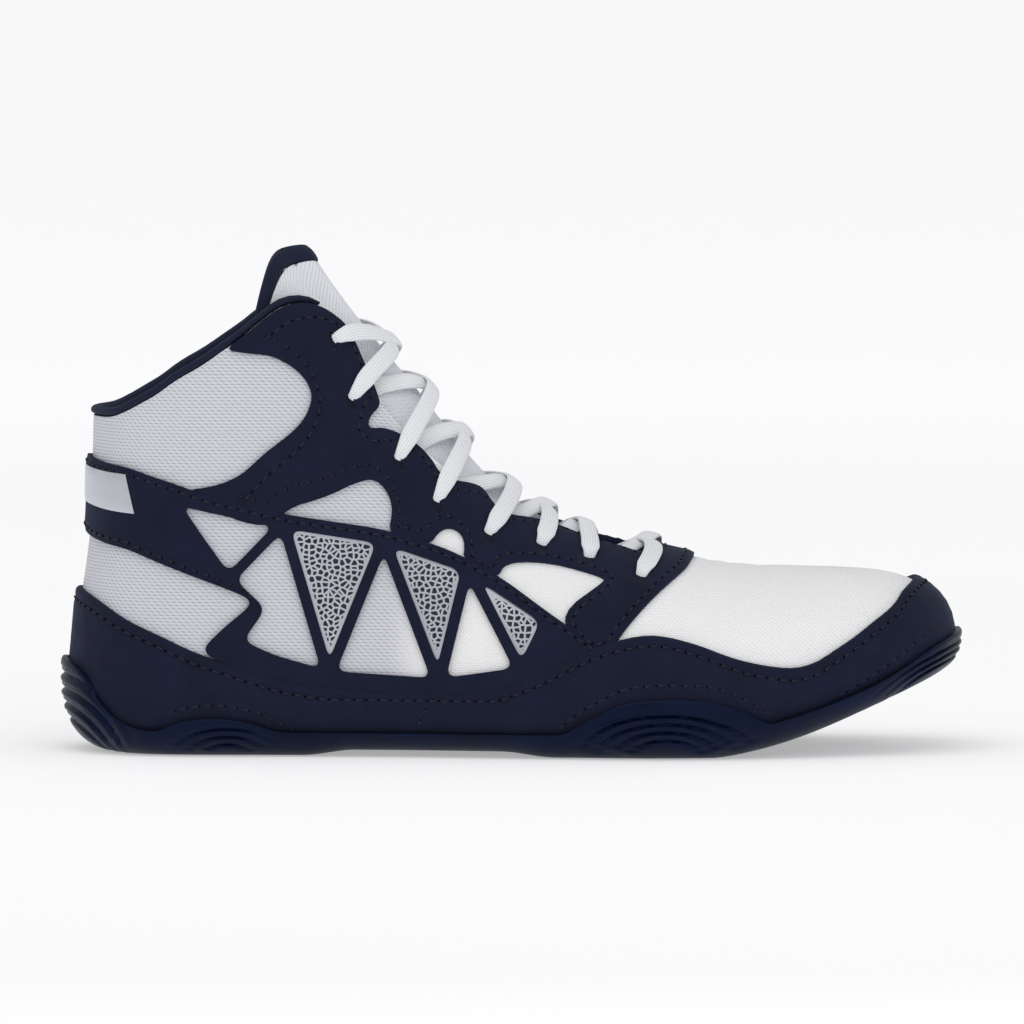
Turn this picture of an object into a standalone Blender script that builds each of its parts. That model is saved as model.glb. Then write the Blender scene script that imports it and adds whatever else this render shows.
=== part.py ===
"""A high wrestling shoe for the right foot, in metres: toe to +X, inner side to +Y, sole on Z = 0."""

import bisect
import math

import bmesh
import bpy
from mathutils import Vector, geometry

MM = 0.001

# Main sizes of the shoe
LENGTH = 288 * MM  # over the sole, from heel to toe
BALL_WIDTH = 95 * MM  # the upper at the ball of the foot
HEEL_WIDTH = 66 * MM  # the upper at the heel
TOE_HEIGHT = 58 * MM  # the upper over the toes, from the floor
TOP_HEIGHT = 157 * MM  # the ridge line where the tongue ends
COLLAR_HEIGHT = 107 * MM  # the collar at the back of the heel
LEAN_HEIGHT = 80 * MM  # above this the back of the heel stands upright

# The wall and the layers on it
WALL = 2.2 * MM  # mesh with its lining
SUEDE = 1.2 * MM
GAP = 0.3 * MM  # between pieces that touch
FACET = 0.22 * MM  # what flat facets take from a gap on round surfaces
TONGUE_PAD = 4.0 * MM  # its thickness in the middle
TONGUE_EDGE = 1.4 * MM  # and along its sides
TONGUE_TOP = -1.0 * MM  # the tongue's face in the middle of the throat, from the last
INSOLE_PAD = 4.0 * MM
LACE_WIDTH = 5.6 * MM
LACE = 1.1 * MM
LACE_SEAT = 2.9 * MM  # a lace's lower face over the facings, from the last
LACE_END = -1.5 * MM  # and where it dives under the opposite facing

# The sole
PLATE = 6.5 * MM  # from the ground to the edge of the last
CUP = 2.0 * MM  # rubber that wraps up the side
ARCH = 1.8 * MM  # how far the waist clears the floor
TOE_SPRING = 26 * MM
BELLY = 12 * MM  # from the edge of the last up to its widest line
TUCK = 6 * MM  # how far that edge lies inside the widest line
GROUND_TUCK = 8 * MM  # how far the ground edge lies inside the widest line
POD_HEIGHT = 19 * MM  # the rubber hump beside the ball
RIB = 1.0 * MM  # relief of the ribs on the humps
GROOVE = 1.6 * MM
LIP = 0.45 * MM  # the rounding of the rubber's top edge

ROLL = 4.2 * MM  # the collar's roll, from the last to the lining's inner face
ROLL_RISE = 3.2 * MM  # how far it stands over the upper's edge
ROLL_DEPTH = 9 * MM  # how far its lining reaches down inside
BINDING = 3 * MM  # the tongue's folded binding, from front to back
BAR = 3.2 * MM  # the bars of the saddle band
SADDLE_FACET = 8.2 * MM  # the longest sides of the facets on the sheets
FACING_FACET = 6 * MM
LACE_FACET = 9 * MM
LACE_STEPS = 5
DRAWN_OUT = 9  # lines are drawn out by this many of their lengths to find where they meet

LATERAL, MEDIAL = -1, 1
QUARTER = math.pi / 2

# One row for each section of the last, from the back of the heel round to the toe.
# x and spine are shares of LENGTH from the heel; lateral, medial and mid are shares of the width there;
# rise is the ridge between TOE_HEIGHT and TOP_HEIGHT; crown is the roundness of the section's top;
# lean is how far the wall draws in up to LEAN_HEIGHT; belly is a share of BELLY.
SECTION_COLUMNS = ("x", "lateral", "medial", "spine", "mid", "rise", "crown", "lean", "belly")
SECTIONS = (
    (0.014, 0.000, 0.000, 0.112, 0.000, 1.72, 2.6, 0.20, 1.35),
    (0.029, 0.262, 0.262, 0.115, 0.000, 1.71, 2.6, 0.19, 1.29),
    (0.070, 0.440, 0.433, 0.122, 0.000, 1.69, 2.6, 0.12, 1.12),
    (0.140, 0.509, 0.500, 0.140, 0.000, 1.64, 2.6, 0.08, 1.00),
    (0.223, 0.521, 0.503, 0.223, 0.000, 1.29, 2.4, 0.06, 1.00),
    (0.309, 0.534, 0.500, 0.309, 0.000, 0.905, 2.3, 0.05, 1.00),
    (0.396, 0.528, 0.475, 0.396, 0.000, 0.590, 2.15, 0.02, 1.00),
    (0.483, 0.519, 0.447, 0.483, 0.000, 0.285, 2.05, 0.00, 1.00),
    (0.569, 0.502, 0.440, 0.569, 0.005, 0.130, 2.1, 0.00, 1.00),
    (0.656, 0.503, 0.482, 0.656, 0.016, 0.064, 2.25, 0.00, 1.00),
    (0.743, 0.474, 0.501, 0.743, 0.032, 0.012, 2.35, 0.00, 0.94),
    (0.829, 0.408, 0.469, 0.819, 0.047, 0.000, 2.4, 0.00, 0.82),
    (0.905, 0.326, 0.405, 0.847, 0.058, -0.003, 2.35, 0.00, 0.65),
    (0.956, 0.216, 0.321, 0.860, 0.068, -0.006, 2.3, 0.00, 0.47),
    (0.981, 0.074, 0.211, 0.867, 0.074, -0.007, 2.3, 0.00, 0.36),
    (0.987, -0.084, 0.084, 0.871, 0.079, -0.007, 2.3, 0.00, 0.30),
)
END = len(SECTIONS) - 1

# The collar's edge: share of LENGTH, and share of the height from COLLAR_HEIGHT to TOP_HEIGHT
COLLAR = ((0.014, 0.00), (0.046, 0.01), (0.078, 0.08), (0.114, 0.19), (0.155, 0.33), (0.193, 0.48),
          (0.223, 0.62), (0.242, 0.70), (0.265, 0.735), (0.282, 0.72), (0.299, 0.67))
# The throat's edge: share of LENGTH, and half the gap as a share of the half width there
THROAT = ((0.318, 0.50), (0.351, 0.56), (0.389, 0.585), (0.431, 0.53), (0.479, 0.43), (0.531, 0.33),
          (0.580, 0.30), (0.621, 0.29), (0.645, 0.25), (0.663, 0.18), (0.673, 0.10))
THROAT_END = 0.679
COLLAR_END = 0.290  # the rolled edge ends here on both sides
# The rolled edge: shares of ROLL outwards and of ROLL_RISE upwards
COLLAR_ROLL = ((0.024, 0.156), (0.214, 0.344), (0.214, 0.719), (0.000, 0.969), (-0.381, 1.000),
               (-0.762, 0.781), (-1.000, 0.250))
LINING_BACK = -0.643  # the back of its lining, as a share of ROLL
# The tongue's binding: shares of BINDING past the tongue's end, and outwards from its face or its back
FOLD = ((0.133, 0.200), (0.533, 0.267), (1.000, 0.033), (1.000, 0.000), (0.533, -0.233), (0.133, -0.167))

# The top of the rubber: share of LENGTH, and height over the ground line as a share of POD_HEIGHT
RUBBER_TOP = ((0.000, 1.63), (0.033, 1.38), (0.052, 0.92), (0.068, 0.62), (0.088, 0.44), (0.108, 0.38),
              (0.122, 0.50), (0.141, 0.60), (0.179, 0.64), (0.218, 0.54), (0.246, 0.36), (0.267, 0.28),
              (0.500, 0.28), (0.549, 0.29), (0.572, 0.54), (0.597, 0.74), (0.624, 0.94), (0.657, 1.01),
              (0.698, 1.01), (0.728, 0.94), (0.757, 0.70), (0.781, 0.40), (0.793, 0.29), (0.845, 0.28),
              (0.883, 0.36), (0.931, 0.52), (0.947, 0.60), (0.969, 0.64), (1.000, 0.60))


# How far the ground edge is tucked in: share of LENGTH, and share of GROUND_TUCK
TUCKED = ((0.000, 1.80), (0.060, 1.25), (0.120, 1.00), (0.850, 1.00), (1.000, 0.50))
# Grooves round the bottom: share of the way out from the spine, and share of GROOVE
TREAD = ((1.00, 0), (0.84, 0), (0.80, 1), (0.75, 0), (0.51, 0), (0.46, 1), (0.40, 0))

# Outlines on the wall are rows of share of LENGTH and share of the height from the widest line to the ridge
MUDGUARD_TOP = ((0.014, 0.142), (0.044, 0.131), (0.082, 0.110), (0.112, 0.095), (0.149, 0.076),
                (0.206, 0.055), (0.244, 0.040), (0.288, 0.031), (0.377, 0.027), (0.440, 0.032),
                (0.480, 0.050), (0.505, 0.090), (0.532, 0.150), (0.569, 0.263), (0.594, 0.341),
                (0.621, 0.401), (0.647, 0.442), (0.669, 0.450), (0.692, 0.432), (0.717, 0.396),
                (0.753, 0.309), (0.790, 0.221), (0.809, 0.184), (0.827, 0.179), (0.840, 0.200),
                (0.856, 0.257), (0.879, 0.344), (0.902, 0.450), (0.924, 0.547), (0.936, 0.611),
                (0.953, 0.708), (0.981, 0.800), (0.987, 0.807))
SADDLE_TOP = ((0.588, 0.372), (0.546, 0.477), (0.487, 0.578), (0.441, 0.564), (0.412, 0.535), (0.357, 0.484),
              (0.254, 0.381), (0.168, 0.335), (0.129, 0.334), (0.072, 0.350), (0.014, 0.350))
SADDLE_LOW = ((0.014, 0.232), (0.074, 0.224), (0.120, 0.204), (0.166, 0.193), (0.208, 0.187), (0.214, 0.174),
              (0.182, 0.121), (0.156, 0.088), (0.206, 0.066), (0.244, 0.051), (0.288, 0.043), (0.377, 0.040),
              (0.440, 0.045), (0.480, 0.065), (0.505, 0.106), (0.532, 0.168), (0.569, 0.282), (0.588, 0.340))
# The zigzag between the saddle band's edges, and the windows between its corners
ZIGZAG = ((0.126, 0.310), (0.188, 0.206), (0.249, 0.358), (0.299, 0.056), (0.360, 0.460), (0.421, 0.060),
          (0.452, 0.540), (0.512, 0.150), (0.540, 0.450))
LEG = ((0.236, 0.078), (0.196, 0.100), (0.222, 0.170))
EYESTAY = ((0.198, 0.600), (0.223, 0.690), (0.242, 0.760), (0.267, 0.840), (0.290, 0.905), (0.306, 0.935),
           (0.318, 0.932), (0.338, 0.884), (0.350, 0.850), (0.355, 0.822), (0.343, 0.765), (0.341, 0.728),
           (0.363, 0.781), (0.394, 0.815), (0.410, 0.814), (0.421, 0.792), (0.437, 0.824), (0.455, 0.880),
           (0.467, 0.906), (0.478, 0.881), (0.492, 0.875), (0.526, 0.945), (0.547, 0.968), (0.574, 0.972),
           (0.596, 0.969), (0.619, 0.968), (0.642, 0.950), (0.658, 0.985), (0.668, 0.9992), (0.705, 0.9992),
           (0.697, 0.950), (0.683, 0.863), (0.660, 0.719), (0.634, 0.534), (0.616, 0.425), (0.596, 0.372),
           (0.592, 0.385), (0.551, 0.500), (0.604, 0.743), (0.602, 0.777), (0.571, 0.786), (0.533, 0.753),
           (0.494, 0.664), (0.484, 0.600), (0.447, 0.588), (0.449, 0.643), (0.439, 0.655), (0.423, 0.611),
           (0.409, 0.552), (0.364, 0.508), (0.370, 0.567), (0.362, 0.606), (0.349, 0.610), (0.333, 0.574),
           (0.296, 0.472), (0.250, 0.395), (0.172, 0.355), (0.201, 0.406), (0.221, 0.454), (0.252, 0.536),
           (0.270, 0.601), (0.279, 0.656), (0.280, 0.688), (0.270, 0.702), (0.252, 0.690), (0.232, 0.667),
           (0.205, 0.620))
# The eyelets, top to toe: share of LENGTH, and share of the half width away from the ridge
EYELETS = ((0.301, 0.600), (0.322, 0.720), (0.374, 0.750), (0.417, 0.760), (0.473, 0.698), (0.532, 0.576),
           (0.586, 0.541), (0.642, 0.640))
# The crossings of the laces, top to toe: where they meet the ridge and where the laces' ends lie, as shares
CROSSINGS = ((0.360, 0.301), (0.400, 0.347), (0.440, 0.397), (0.492, 0.449), (0.532, 0.499),
             (0.573, 0.551), (0.645, 0.610))
# The tongue: share of LENGTH on the ridge, half its width as a share, and how far its sides sweep back
TONGUE = ((0.289, 0.79, 0.060), (0.299, 0.79, 0.054), (0.315, 0.79, 0.046), (0.335, 0.79, 0.032),
          (0.360, 0.79, 0.022), (0.390, 0.79, 0.012), (0.420, 0.78, 0.004), (0.450, 0.74, 0.0),
          (0.480, 0.68, 0.0), (0.510, 0.62, 0.0), (0.540, 0.57, 0.0), (0.570, 0.53, 0.0),
          (0.600, 0.50, 0.0), (0.630, 0.48, 0.0), (0.655, 0.46, 0.0), (0.680, 0.42, 0.0),
          (0.700, 0.38, 0.0))
TONGUE_DEPTH = ((0.210, 6.2), (0.300, 5.2), (0.370, 3.2), (0.600, 3.2), (0.700, 3.4))  # under the last, in mm


def smooth(share):
    """Nought to one along an S, flat at both ends."""
    share = min(max(share, 0.0), 1.0)
    return share * share * (3 - 2 * share)


def catmull(values, place):
    """A smooth line through evenly spaced values, the first and last of which lie outside it."""
    step = min(int(place), len(values) - 4)
    part = place - step
    before, start, stop, after = values[step:step + 4]
    bend = 2 * before - 5 * start + 4 * stop - after
    twist = 3 * (start - stop) + after - before
    return start + 0.5 * part * (stop - before + part * (bend + part * twist))


def along(table, share):
    """A straight-line reading of a two-column table."""
    step = bisect.bisect_right([row[0] for row in table], share)
    step = min(max(step, 1), len(table) - 1)
    (left, low), (right, high) = table[step - 1], table[step]
    part = min(max((share - left) / (right - left), 0.0), 1.0)
    return low + (high - low) * part


def width_at(share):
    """The width that the sections' half widths are shares of, from heel width to ball width."""
    return HEEL_WIDTH + (BALL_WIDTH - HEEL_WIDTH) * smooth((share - 0.29) / (0.67 - 0.29))


def section_curves():
    """Each column of SECTIONS with a row added at either end, mirrored round heel and toe."""
    curves = {}
    for number, name in enumerate(SECTION_COLUMNS):
        column = [row[number] for row in SECTIONS]
        curves[name] = [column[1]] + column + [column[-2]]
    widths = {side: [row[1 if side == LATERAL else 2] * width_at(row[0]) for row in SECTIONS]
              for side in (LATERAL, MEDIAL)}
    for side, values in widths.items():
        other = widths[-side]
        curves[side] = [-other[1]] + values + [-other[-2]]
    return curves


CURVES = section_curves()
WRAP_TURNS = (-1, -0.7, -0.35, 0)  # levels that the upper, the mudguard and the sole share


def ground(share):
    """Height of the underside's line: flat, then the toe spring."""
    start, stop = 0.722, 0.988
    rise = max(share - start, 0.0) / (stop - start)
    return TOE_SPRING * rise ** 1.4


def across_length(share):
    """From a share of LENGTH to X."""
    return (share - 0.5) * LENGTH


def last(side, station, turn):
    """A point of the last: station counts the rows of SECTIONS, turn runs from the bottom edge (-1)
    past the widest line (0) to the ridge (1). Past heel, toe or ridge it goes on down the other side."""
    if turn > 1:
        side, turn = -side, 2 - turn
    if station < 0:
        side, station = -side, -station
    if station > END:
        side, station = -side, 2 * END - station
    share = catmull(CURVES["x"], station)
    middle, sideways = catmull(CURVES["spine"], station), catmull(CURVES["mid"], station)
    spine = Vector((across_length(middle), sideways * BALL_WIDTH))
    wide = Vector((across_length(share), side * catmull(CURVES[side], station)))
    edge_z = ground(share) + PLATE
    wide_z = edge_z + BELLY * catmull(CURVES["belly"], station)
    if turn >= 0:
        power = 2 / catmull(CURVES["crown"], station)
        reach = max(math.cos(turn * QUARTER), 0.0) ** power
        top_z = TOE_HEIGHT + (TOP_HEIGHT - TOE_HEIGHT) * catmull(CURVES["rise"], station)
        z = wide_z + (top_z - wide_z) * math.sin(turn * QUARTER) ** power
        reach *= 1 - catmull(CURVES["lean"], station) * smooth((z - wide_z) / (LEAN_HEIGHT - wide_z))
    else:
        reach = 1 - TUCK / (wide - spine).length * (1 - math.cos(turn * QUARTER))
        z = wide_z + (wide_z - edge_z) * math.sin(turn * QUARTER)
    spot = spine + (wide - spine) * reach
    return Vector((spot.x, spot.y, z))


def skin(side, station, turn, out=0.0):
    """A point at a distance out from the last, square to it."""
    here = last(side, station, turn)
    if out == 0:
        return here
    ahead, behind = station + 0.02, station - 0.02
    if turn > 0.9:
        ahead, behind = min(ahead, END), max(behind, 0)
    high, low = turn + 0.01, max(turn - 0.01, -1)
    length = last(side, ahead, turn) - last(side, behind, turn)
    height = last(side, station, high) - last(side, station, low)
    return here + length.cross(height).normalized() * (out * -side)


def station_at(share):
    """The station whose widest point lies at this share of LENGTH."""
    low, high = 0.0, float(END)
    for _ in range(40):
        middle = (low + high) / 2
        if catmull(CURVES["x"], middle) < share:
            low = middle
        else:
            high = middle
    return (low + high) / 2


def heights(station):
    """Heights of the bottom edge, the widest line and the ridge at a station."""
    edge_z = ground(catmull(CURVES["x"], station)) + PLATE
    wide_z = edge_z + BELLY * catmull(CURVES["belly"], station)
    return edge_z, wide_z, TOE_HEIGHT + (TOP_HEIGHT - TOE_HEIGHT) * catmull(CURVES["rise"], station)


def turn_at_height(station, z):
    """The turn at which the last is this high."""
    edge_z, wide_z, ridge_z = heights(station)
    if z < wide_z:
        return -math.asin(min((wide_z - z) / (wide_z - edge_z), 1.0)) / QUARTER
    up = min((z - wide_z) / (ridge_z - wide_z), 1.0)
    return math.asin(up ** (catmull(CURVES["crown"], station) / 2)) / QUARTER


def turn_at_gap(station, gap):
    """The turn at which the last is this share of its half width away from the ridge."""
    return math.acos(gap ** (catmull(CURVES["crown"], station) / 2)) / QUARTER


def edge_table():
    """The edge of the collar and the throat, as turns."""
    table = []
    for share, height in COLLAR:
        station = station_at(share)
        table.append((share, turn_at_height(station, COLLAR_HEIGHT + (TOP_HEIGHT - COLLAR_HEIGHT) * height)))
    for share, gap in THROAT:
        table.append((share, turn_at_gap(station_at(share), gap)))
    table.append((THROAT_END, 1.0))
    return table


EDGE = edge_table()


def edge_turn(station):
    """Where the upper's wall ends at a station."""
    return along(EDGE, catmull(CURVES["x"], station))


def paint(name, colour, roughness, metallic=0.0):
    """A plain Principled material."""
    material = bpy.data.materials.new(name)
    material.use_nodes = True
    shader = material.node_tree.nodes["Principled BSDF"]
    shader.inputs["Base Color"].default_value = (*colour, 1.0)
    shader.inputs["Roughness"].default_value = roughness
    shader.inputs["Metallic"].default_value = metallic
    material.diffuse_color = (*colour, 1.0)
    return material


def finish(name, mesh, material):
    """Closes a bmesh into one smooth object with its faces pointing out."""
    bmesh.ops.remove_doubles(mesh, verts=mesh.verts, dist=0.04 * MM)
    bmesh.ops.dissolve_degenerate(mesh, edges=mesh.edges, dist=0.01 * MM)
    bmesh.ops.triangulate(mesh, faces=mesh.faces)
    bmesh.ops.recalc_face_normals(mesh, faces=mesh.faces)
    if mesh.calc_volume(signed=True) < 0:
        bmesh.ops.reverse_faces(mesh, faces=mesh.faces)
    data = bpy.data.meshes.new(name)
    mesh.to_mesh(data)
    mesh.free()
    data.materials.append(material)
    data.shade_smooth()
    data.set_sharp_from_angle(angle=math.radians(40))
    thing = bpy.data.objects.new(name, data)
    bpy.context.scene.collection.objects.link(thing)
    return thing


def loft(name, material, loops, ring=True, skip=None):
    """Joins closed loops of points into one solid. skip(loop, side) leaves out a strip that is shared."""
    mesh = bmesh.new()
    rows = [[mesh.verts.new(point) for point in loop] for loop in loops]
    count = len(rows[0])
    for number, row in enumerate(rows):
        if number == len(rows) - 1 and not ring:
            break
        other = rows[(number + 1) % len(rows)]
        for side in range(count):
            if skip and skip(number, side):
                continue
            turn = (side + 1) % count
            mesh.faces.new((row[side], row[turn], other[turn], other[side]))
    if not ring:
        mesh.faces.new(rows[0])
        mesh.faces.new(rows[-1])
    return finish(name, mesh, material)


def stations(step_counts):
    """Stations from heel to toe, with this many steps in each row of SECTIONS."""
    places = []
    for row, steps in enumerate(step_counts):
        places += [row + part / steps for part in range(steps)]
    return places + [END]


def round_the_shoe(places):
    """The stations on the lateral side to the toe and back along the medial side."""
    return [(LATERAL, place) for place in places] + [(MEDIAL, place) for place in reversed(places[1:-1])]


RIBS = stations((2, 2, 2, 3, 3, 2, 2, 2, 2, 3, 3, 2, 2, 2, 1))


def upper():
    rows = 10
    ribs = round_the_shoe(RIBS)
    loops = []
    for side, station in ribs:
        top = edge_turn(station)
        turns = [*WRAP_TURNS, *(top * (row / (rows - 4)) for row in range(1, rows - 3))]
        loops.append([skin(side, station, turn) for turn in turns]
                     + [skin(side, station, turn, -WALL) for turn in reversed(turns)])

    def closed(number):
        return edge_turn(ribs[number % len(ribs)][1]) >= 1

    return loft("upper", paint("white_mesh", (0.86, 0.87, 0.89), 0.8), loops,
                skip=lambda number, side: side == rows - 1 and closed(number) and closed(number + 1))


SEAT = GAP + FACET  # from the last to the suede pieces on it
CLEAR = SEAT + SUEDE + GAP + FACET  # from the last to what lies on the suede


def waist(share):
    """One where the sole arches over the waist, nought at heel and ball."""
    return smooth((share - 0.27) / 0.06) * smooth((0.55 - share) / 0.06)


def underside(share):
    """Height of the sole's underside."""
    return ground(share) + ARCH * waist(share)


def spine_point(station, above=0.0):
    """A point on the middle line of the sole, at a height above its underside's line."""
    share = catmull(CURVES["spine"], station)
    sideways = catmull(CURVES["mid"], station) * BALL_WIDTH
    return Vector((across_length(share), sideways, ground(share) + above))


def sole_side(side, station, height, ledge):
    """A point of the rubber's outer face at a height: the last's shape above, a round corner below."""
    share = catmull(CURVES["x"], station)
    low_z = underside(share)
    wide_z = heights(station)[1]
    if height >= wide_z:
        spot = skin(side, station, turn_at_height(station, height), CLEAR + CUP)
    else:
        spot = skin(side, station, 0, CLEAR + CUP)
    outward = spot - spine_point(station)
    outward.z = 0
    outward.normalize()
    if height < wide_z:
        fall = (wide_z - height) / (wide_z - low_z)
        tuck = GROUND_TUCK * along(TUCKED, share) + CLEAR + CUP
        spot = spot - outward * tuck * (1 - max(1 - fall ** 2.2, 0) ** (1 / 2.2))
        spot.z = height
    return spot + outward * ledge


def wrap_turns(top):
    """Five turns from the last's bottom edge to the top of what wraps it, the lower ones always alike."""
    if top < WRAP_TURNS[-1]:
        return [-1 + (top + 1) * step / 4 for step in range(5)]
    return [*WRAP_TURNS, top]


def outsole():
    levels = 6
    loops = []
    for side, station in round_the_shoe(RIBS):
        share = catmull(CURVES["x"], station)
        edge_z = heights(station)[0]
        low_z = underside(share)
        top_z = max(ground(share) + POD_HEIGHT * along(RUBBER_TOP, share), edge_z + 1.2 * MM)
        top_turn = turn_at_height(station, top_z)
        loop = [spine_point(station, PLATE - CLEAR)]
        loop += [skin(side, station, turn, CLEAR) for turn in wrap_turns(top_turn)]
        ribbed = smooth((top_z - edge_z) / (8 * MM)) * RIB
        lip_z = top_z - LIP
        for level in range(levels):
            height = lip_z - (lip_z - low_z) * (level / levels) ** 1.1
            ledge = -ribbed * (level % 2) - (LIP if level == 0 else 0)
            loop.append(sole_side(side, station, height, ledge))
        rim = sole_side(side, station, low_z, 0)
        heart = spine_point(station)
        heart.z = underside(catmull(CURVES["spine"], station))
        flat = 1 - waist(share)
        for out, depth in TREAD:
            spot = heart.lerp(rim, out)
            spot.z += GROOVE * depth * flat
            loop.append(spot)
        loop.append(heart)
        loops.append(loop)
    last_side = len(loops[0]) - 1
    return loft("outsole", paint("navy_rubber", (0.012, 0.022, 0.06), 0.45), loops,
                skip=lambda number, side: side == last_side)


def insole():
    loops = []
    for side, station in round_the_shoe(RIBS):
        edge_z = heights(station)[0]
        low, high = GAP - CLEAR, GAP - CLEAR + INSOLE_PAD
        rim = last(side, station, -1)
        inward = spine_point(station) - rim
        inward.z = 0
        rim += inward.normalized() * 0.5 * MM
        top, bottom = rim.copy(), rim.copy()
        top.z, bottom.z = edge_z + high, edge_z + low
        loops.append([spine_point(station, PLATE + high), top, bottom, spine_point(station, PLATE + low)])
    return loft("insole", paint("grey_sockliner", (0.05, 0.06, 0.09), 0.8), loops,
                skip=lambda number, side: side == 3)


def mudguard():
    loops = []
    for side, station in round_the_shoe(RIBS):
        _, wide_z, ridge_z = heights(station)
        up = along(MUDGUARD_TOP, catmull(CURVES["x"], station))
        top = turn_at_height(station, wide_z + (ridge_z - wide_z) * up)
        turns = [*WRAP_TURNS[1:], top / 3, top * 2 / 3, top]
        loops.append([skin(side, station, turn, SEAT + SUEDE) for turn in turns]
                     + [skin(side, station, turn, SEAT) for turn in reversed(turns)])
    return loft("mudguard", paint("navy_suede", (0.014, 0.018, 0.045), 0.9), loops)


def inside(spot, loop):
    """Whether a flat point lies in a closed loop."""
    odd = False
    for one, two in zip(loop, loop[1:] + loop[:1]):
        if (one[1] > spot[1]) != (two[1] > spot[1]):
            if spot[0] < one[0] + (spot[1] - one[1]) / (two[1] - one[1]) * (two[0] - one[0]):
                odd = not odd
    return odd


def divided(loop, step):
    """The loop with no side longer than a step."""
    points = []
    for one, two in zip(loop, loop[1:] + loop[:1]):
        parts = max(math.ceil((Vector(two) - Vector(one)).length / step), 1)
        points += [Vector(one).lerp(Vector(two), part / parts) for part in range(parts)]
    return points


def panel(name, material, outlines, holes, place, low, high, step):
    """A sheet cut in a flat chart and laid on the last. place turns a chart point into side, station and
    turn; low and high are its two faces, as distances from the last or functions of the chart point."""
    loops = [divided(loop, step) for loop in outlines + holes]
    points, edges = [], []
    for loop in loops:
        start = len(points)
        points += loop
        edges += [(start + number, start + (number + 1) % len(loop)) for number in range(len(loop))]
    left, right = min(p.x for p in points), max(p.x for p in points)
    floor, roof = min(p.y for p in points), max(p.y for p in points)
    rim = list(points)
    for row in range(int((roof - floor) / step) + 1):
        for column in range(int((right - left) / step) + 1):
            spot = Vector((left + (column + 0.5 * (row % 2)) * step, floor + row * step))
            if min((spot - other).length for other in rim) > 0.6 * step:
                points.append(spot)
    flat, _, faces, *_ = geometry.delaunay_2d_cdt(points, edges, [], 0, 1e-7)
    kept = []
    for face in faces:
        centre = sum((flat[number] for number in face), Vector((0, 0))) / 3
        in_hole = any(inside(centre, loop) for loop in holes)
        if any(inside(centre, loop) for loop in outlines) and not in_hole:
            kept.append(face)
    mesh = bmesh.new()
    used = sorted({number for face in kept for number in face})
    layers = []
    for out in (low, high):
        layer = {}
        for number in used:
            spot = flat[number]
            distance = out(spot) if callable(out) else out
            layer[number] = mesh.verts.new(skin(*place(spot), distance))
        layers.append(layer)
    borders = {}
    for face in kept:
        mesh.faces.new([layers[1][number] for number in face])
        mesh.faces.new([layers[0][number] for number in reversed(face)])
        for one, two in zip(face, face[1:] + face[:1]):
            key = (min(one, two), max(one, two))
            borders[key] = None if key in borders else (one, two)
    for border in borders.values():
        if border:
            one, two = border
            mesh.faces.new((layers[1][two], layers[1][one], layers[0][one], layers[0][two]))
    return finish(name, mesh, material)


STRIDE = 23 * MM  # the length that charts give to one row of SECTIONS
GIRTH = 75 * MM  # and to the turn from the widest line to the ridge
THROAT_SPAN = 38 * MM  # and to the half width of the last beside the throat


def wall_place(side):
    """A chart of one side of the shoe, up to the ridge."""
    return lambda spot: (side, spot.x / STRIDE, spot.y / GIRTH)


def wall_chart(rows):
    """Rows of share and height share, as points of that chart."""
    points = []
    for share, up in rows:
        station = station_at(share)
        _, wide_z, ridge_z = heights(station)
        points.append((station * STRIDE, turn_at_height(station, wide_z + (ridge_z - wide_z) * up) * GIRTH))
    return points


def heel_place(spot):
    """A chart that goes round the heel, by height: the lateral side lies below nought."""
    station = abs(spot.x) / STRIDE
    return MEDIAL if spot.x > 0 else LATERAL, station, turn_at_height(station, spot.y)


def heel_chart(rows, side):
    points = []
    for share, up in rows:
        station = station_at(share) if share > SECTIONS[0][0] else 0.0
        _, wide_z, ridge_z = heights(station)
        points.append((side * station * STRIDE, wide_z + (ridge_z - wide_z) * up))
    return points


def inset(loop, depth):
    """A convex loop drawn in by a depth on each side."""
    middle = sum((Vector(point) for point in loop), Vector((0, 0))) / len(loop)
    lines = []
    for one, two in zip(loop, loop[1:] + loop[:1]):
        one, two = Vector(one), Vector(two)
        square = Vector((one.y - two.y, two.x - one.x)).normalized()
        if square.dot(middle - one) < 0:
            square = -square
        lines.append((one + square * depth, two + square * depth))
    corners = []
    for line, following in zip(lines[-1:] + lines[:-1], lines):
        ends = [end + (end - start) * reach for start, end in (line, following)
                for reach in (-DRAWN_OUT, DRAWN_OUT)]
        corners.append(tuple(geometry.intersect_line_line_2d(*ends)))
    return corners


def saddle_band():
    top, low, windows = {}, {}, []
    for side in (LATERAL, MEDIAL):
        top[side], low[side] = heel_chart(SADDLE_TOP, side), heel_chart(SADDLE_LOW, side)
        zigzag, leg = heel_chart(ZIGZAG, side), heel_chart(LEG, side)
        for corner in range(len(zigzag) - 2):
            if corner != 1:
                windows.append(inset(zigzag[corner:corner + 3], BAR / 2))
        windows.append(inset([zigzag[2], zigzag[3]] + leg + [zigzag[1]], BAR / 2))
    outline = top[LATERAL] + top[MEDIAL][-2::-1] + low[MEDIAL][::-1] + low[LATERAL][1:]
    return panel("saddle_band", paint("navy_saddle", (0.016, 0.021, 0.05), 0.9), [outline], windows,
                 heel_place, SEAT, SEAT + SUEDE, SADDLE_FACET)


def eyestay(side, name):
    return panel(name, paint("navy_facing", (0.016, 0.021, 0.05), 0.9), [wall_chart(EYESTAY)], [],
                 wall_place(side), SEAT, SEAT + SUEDE, FACING_FACET)


def ridge_table():
    """Share of LENGTH against the length along the ridge, over the throat."""
    table, total, before = [], 0.0, None
    for step in range(61):
        share = 0.25 + 0.0078 * step
        spot = last(LATERAL, station_at(share), 1)
        if before:
            total += (spot - before).length
        table.append((share, total))
        before = spot
    return table


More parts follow.
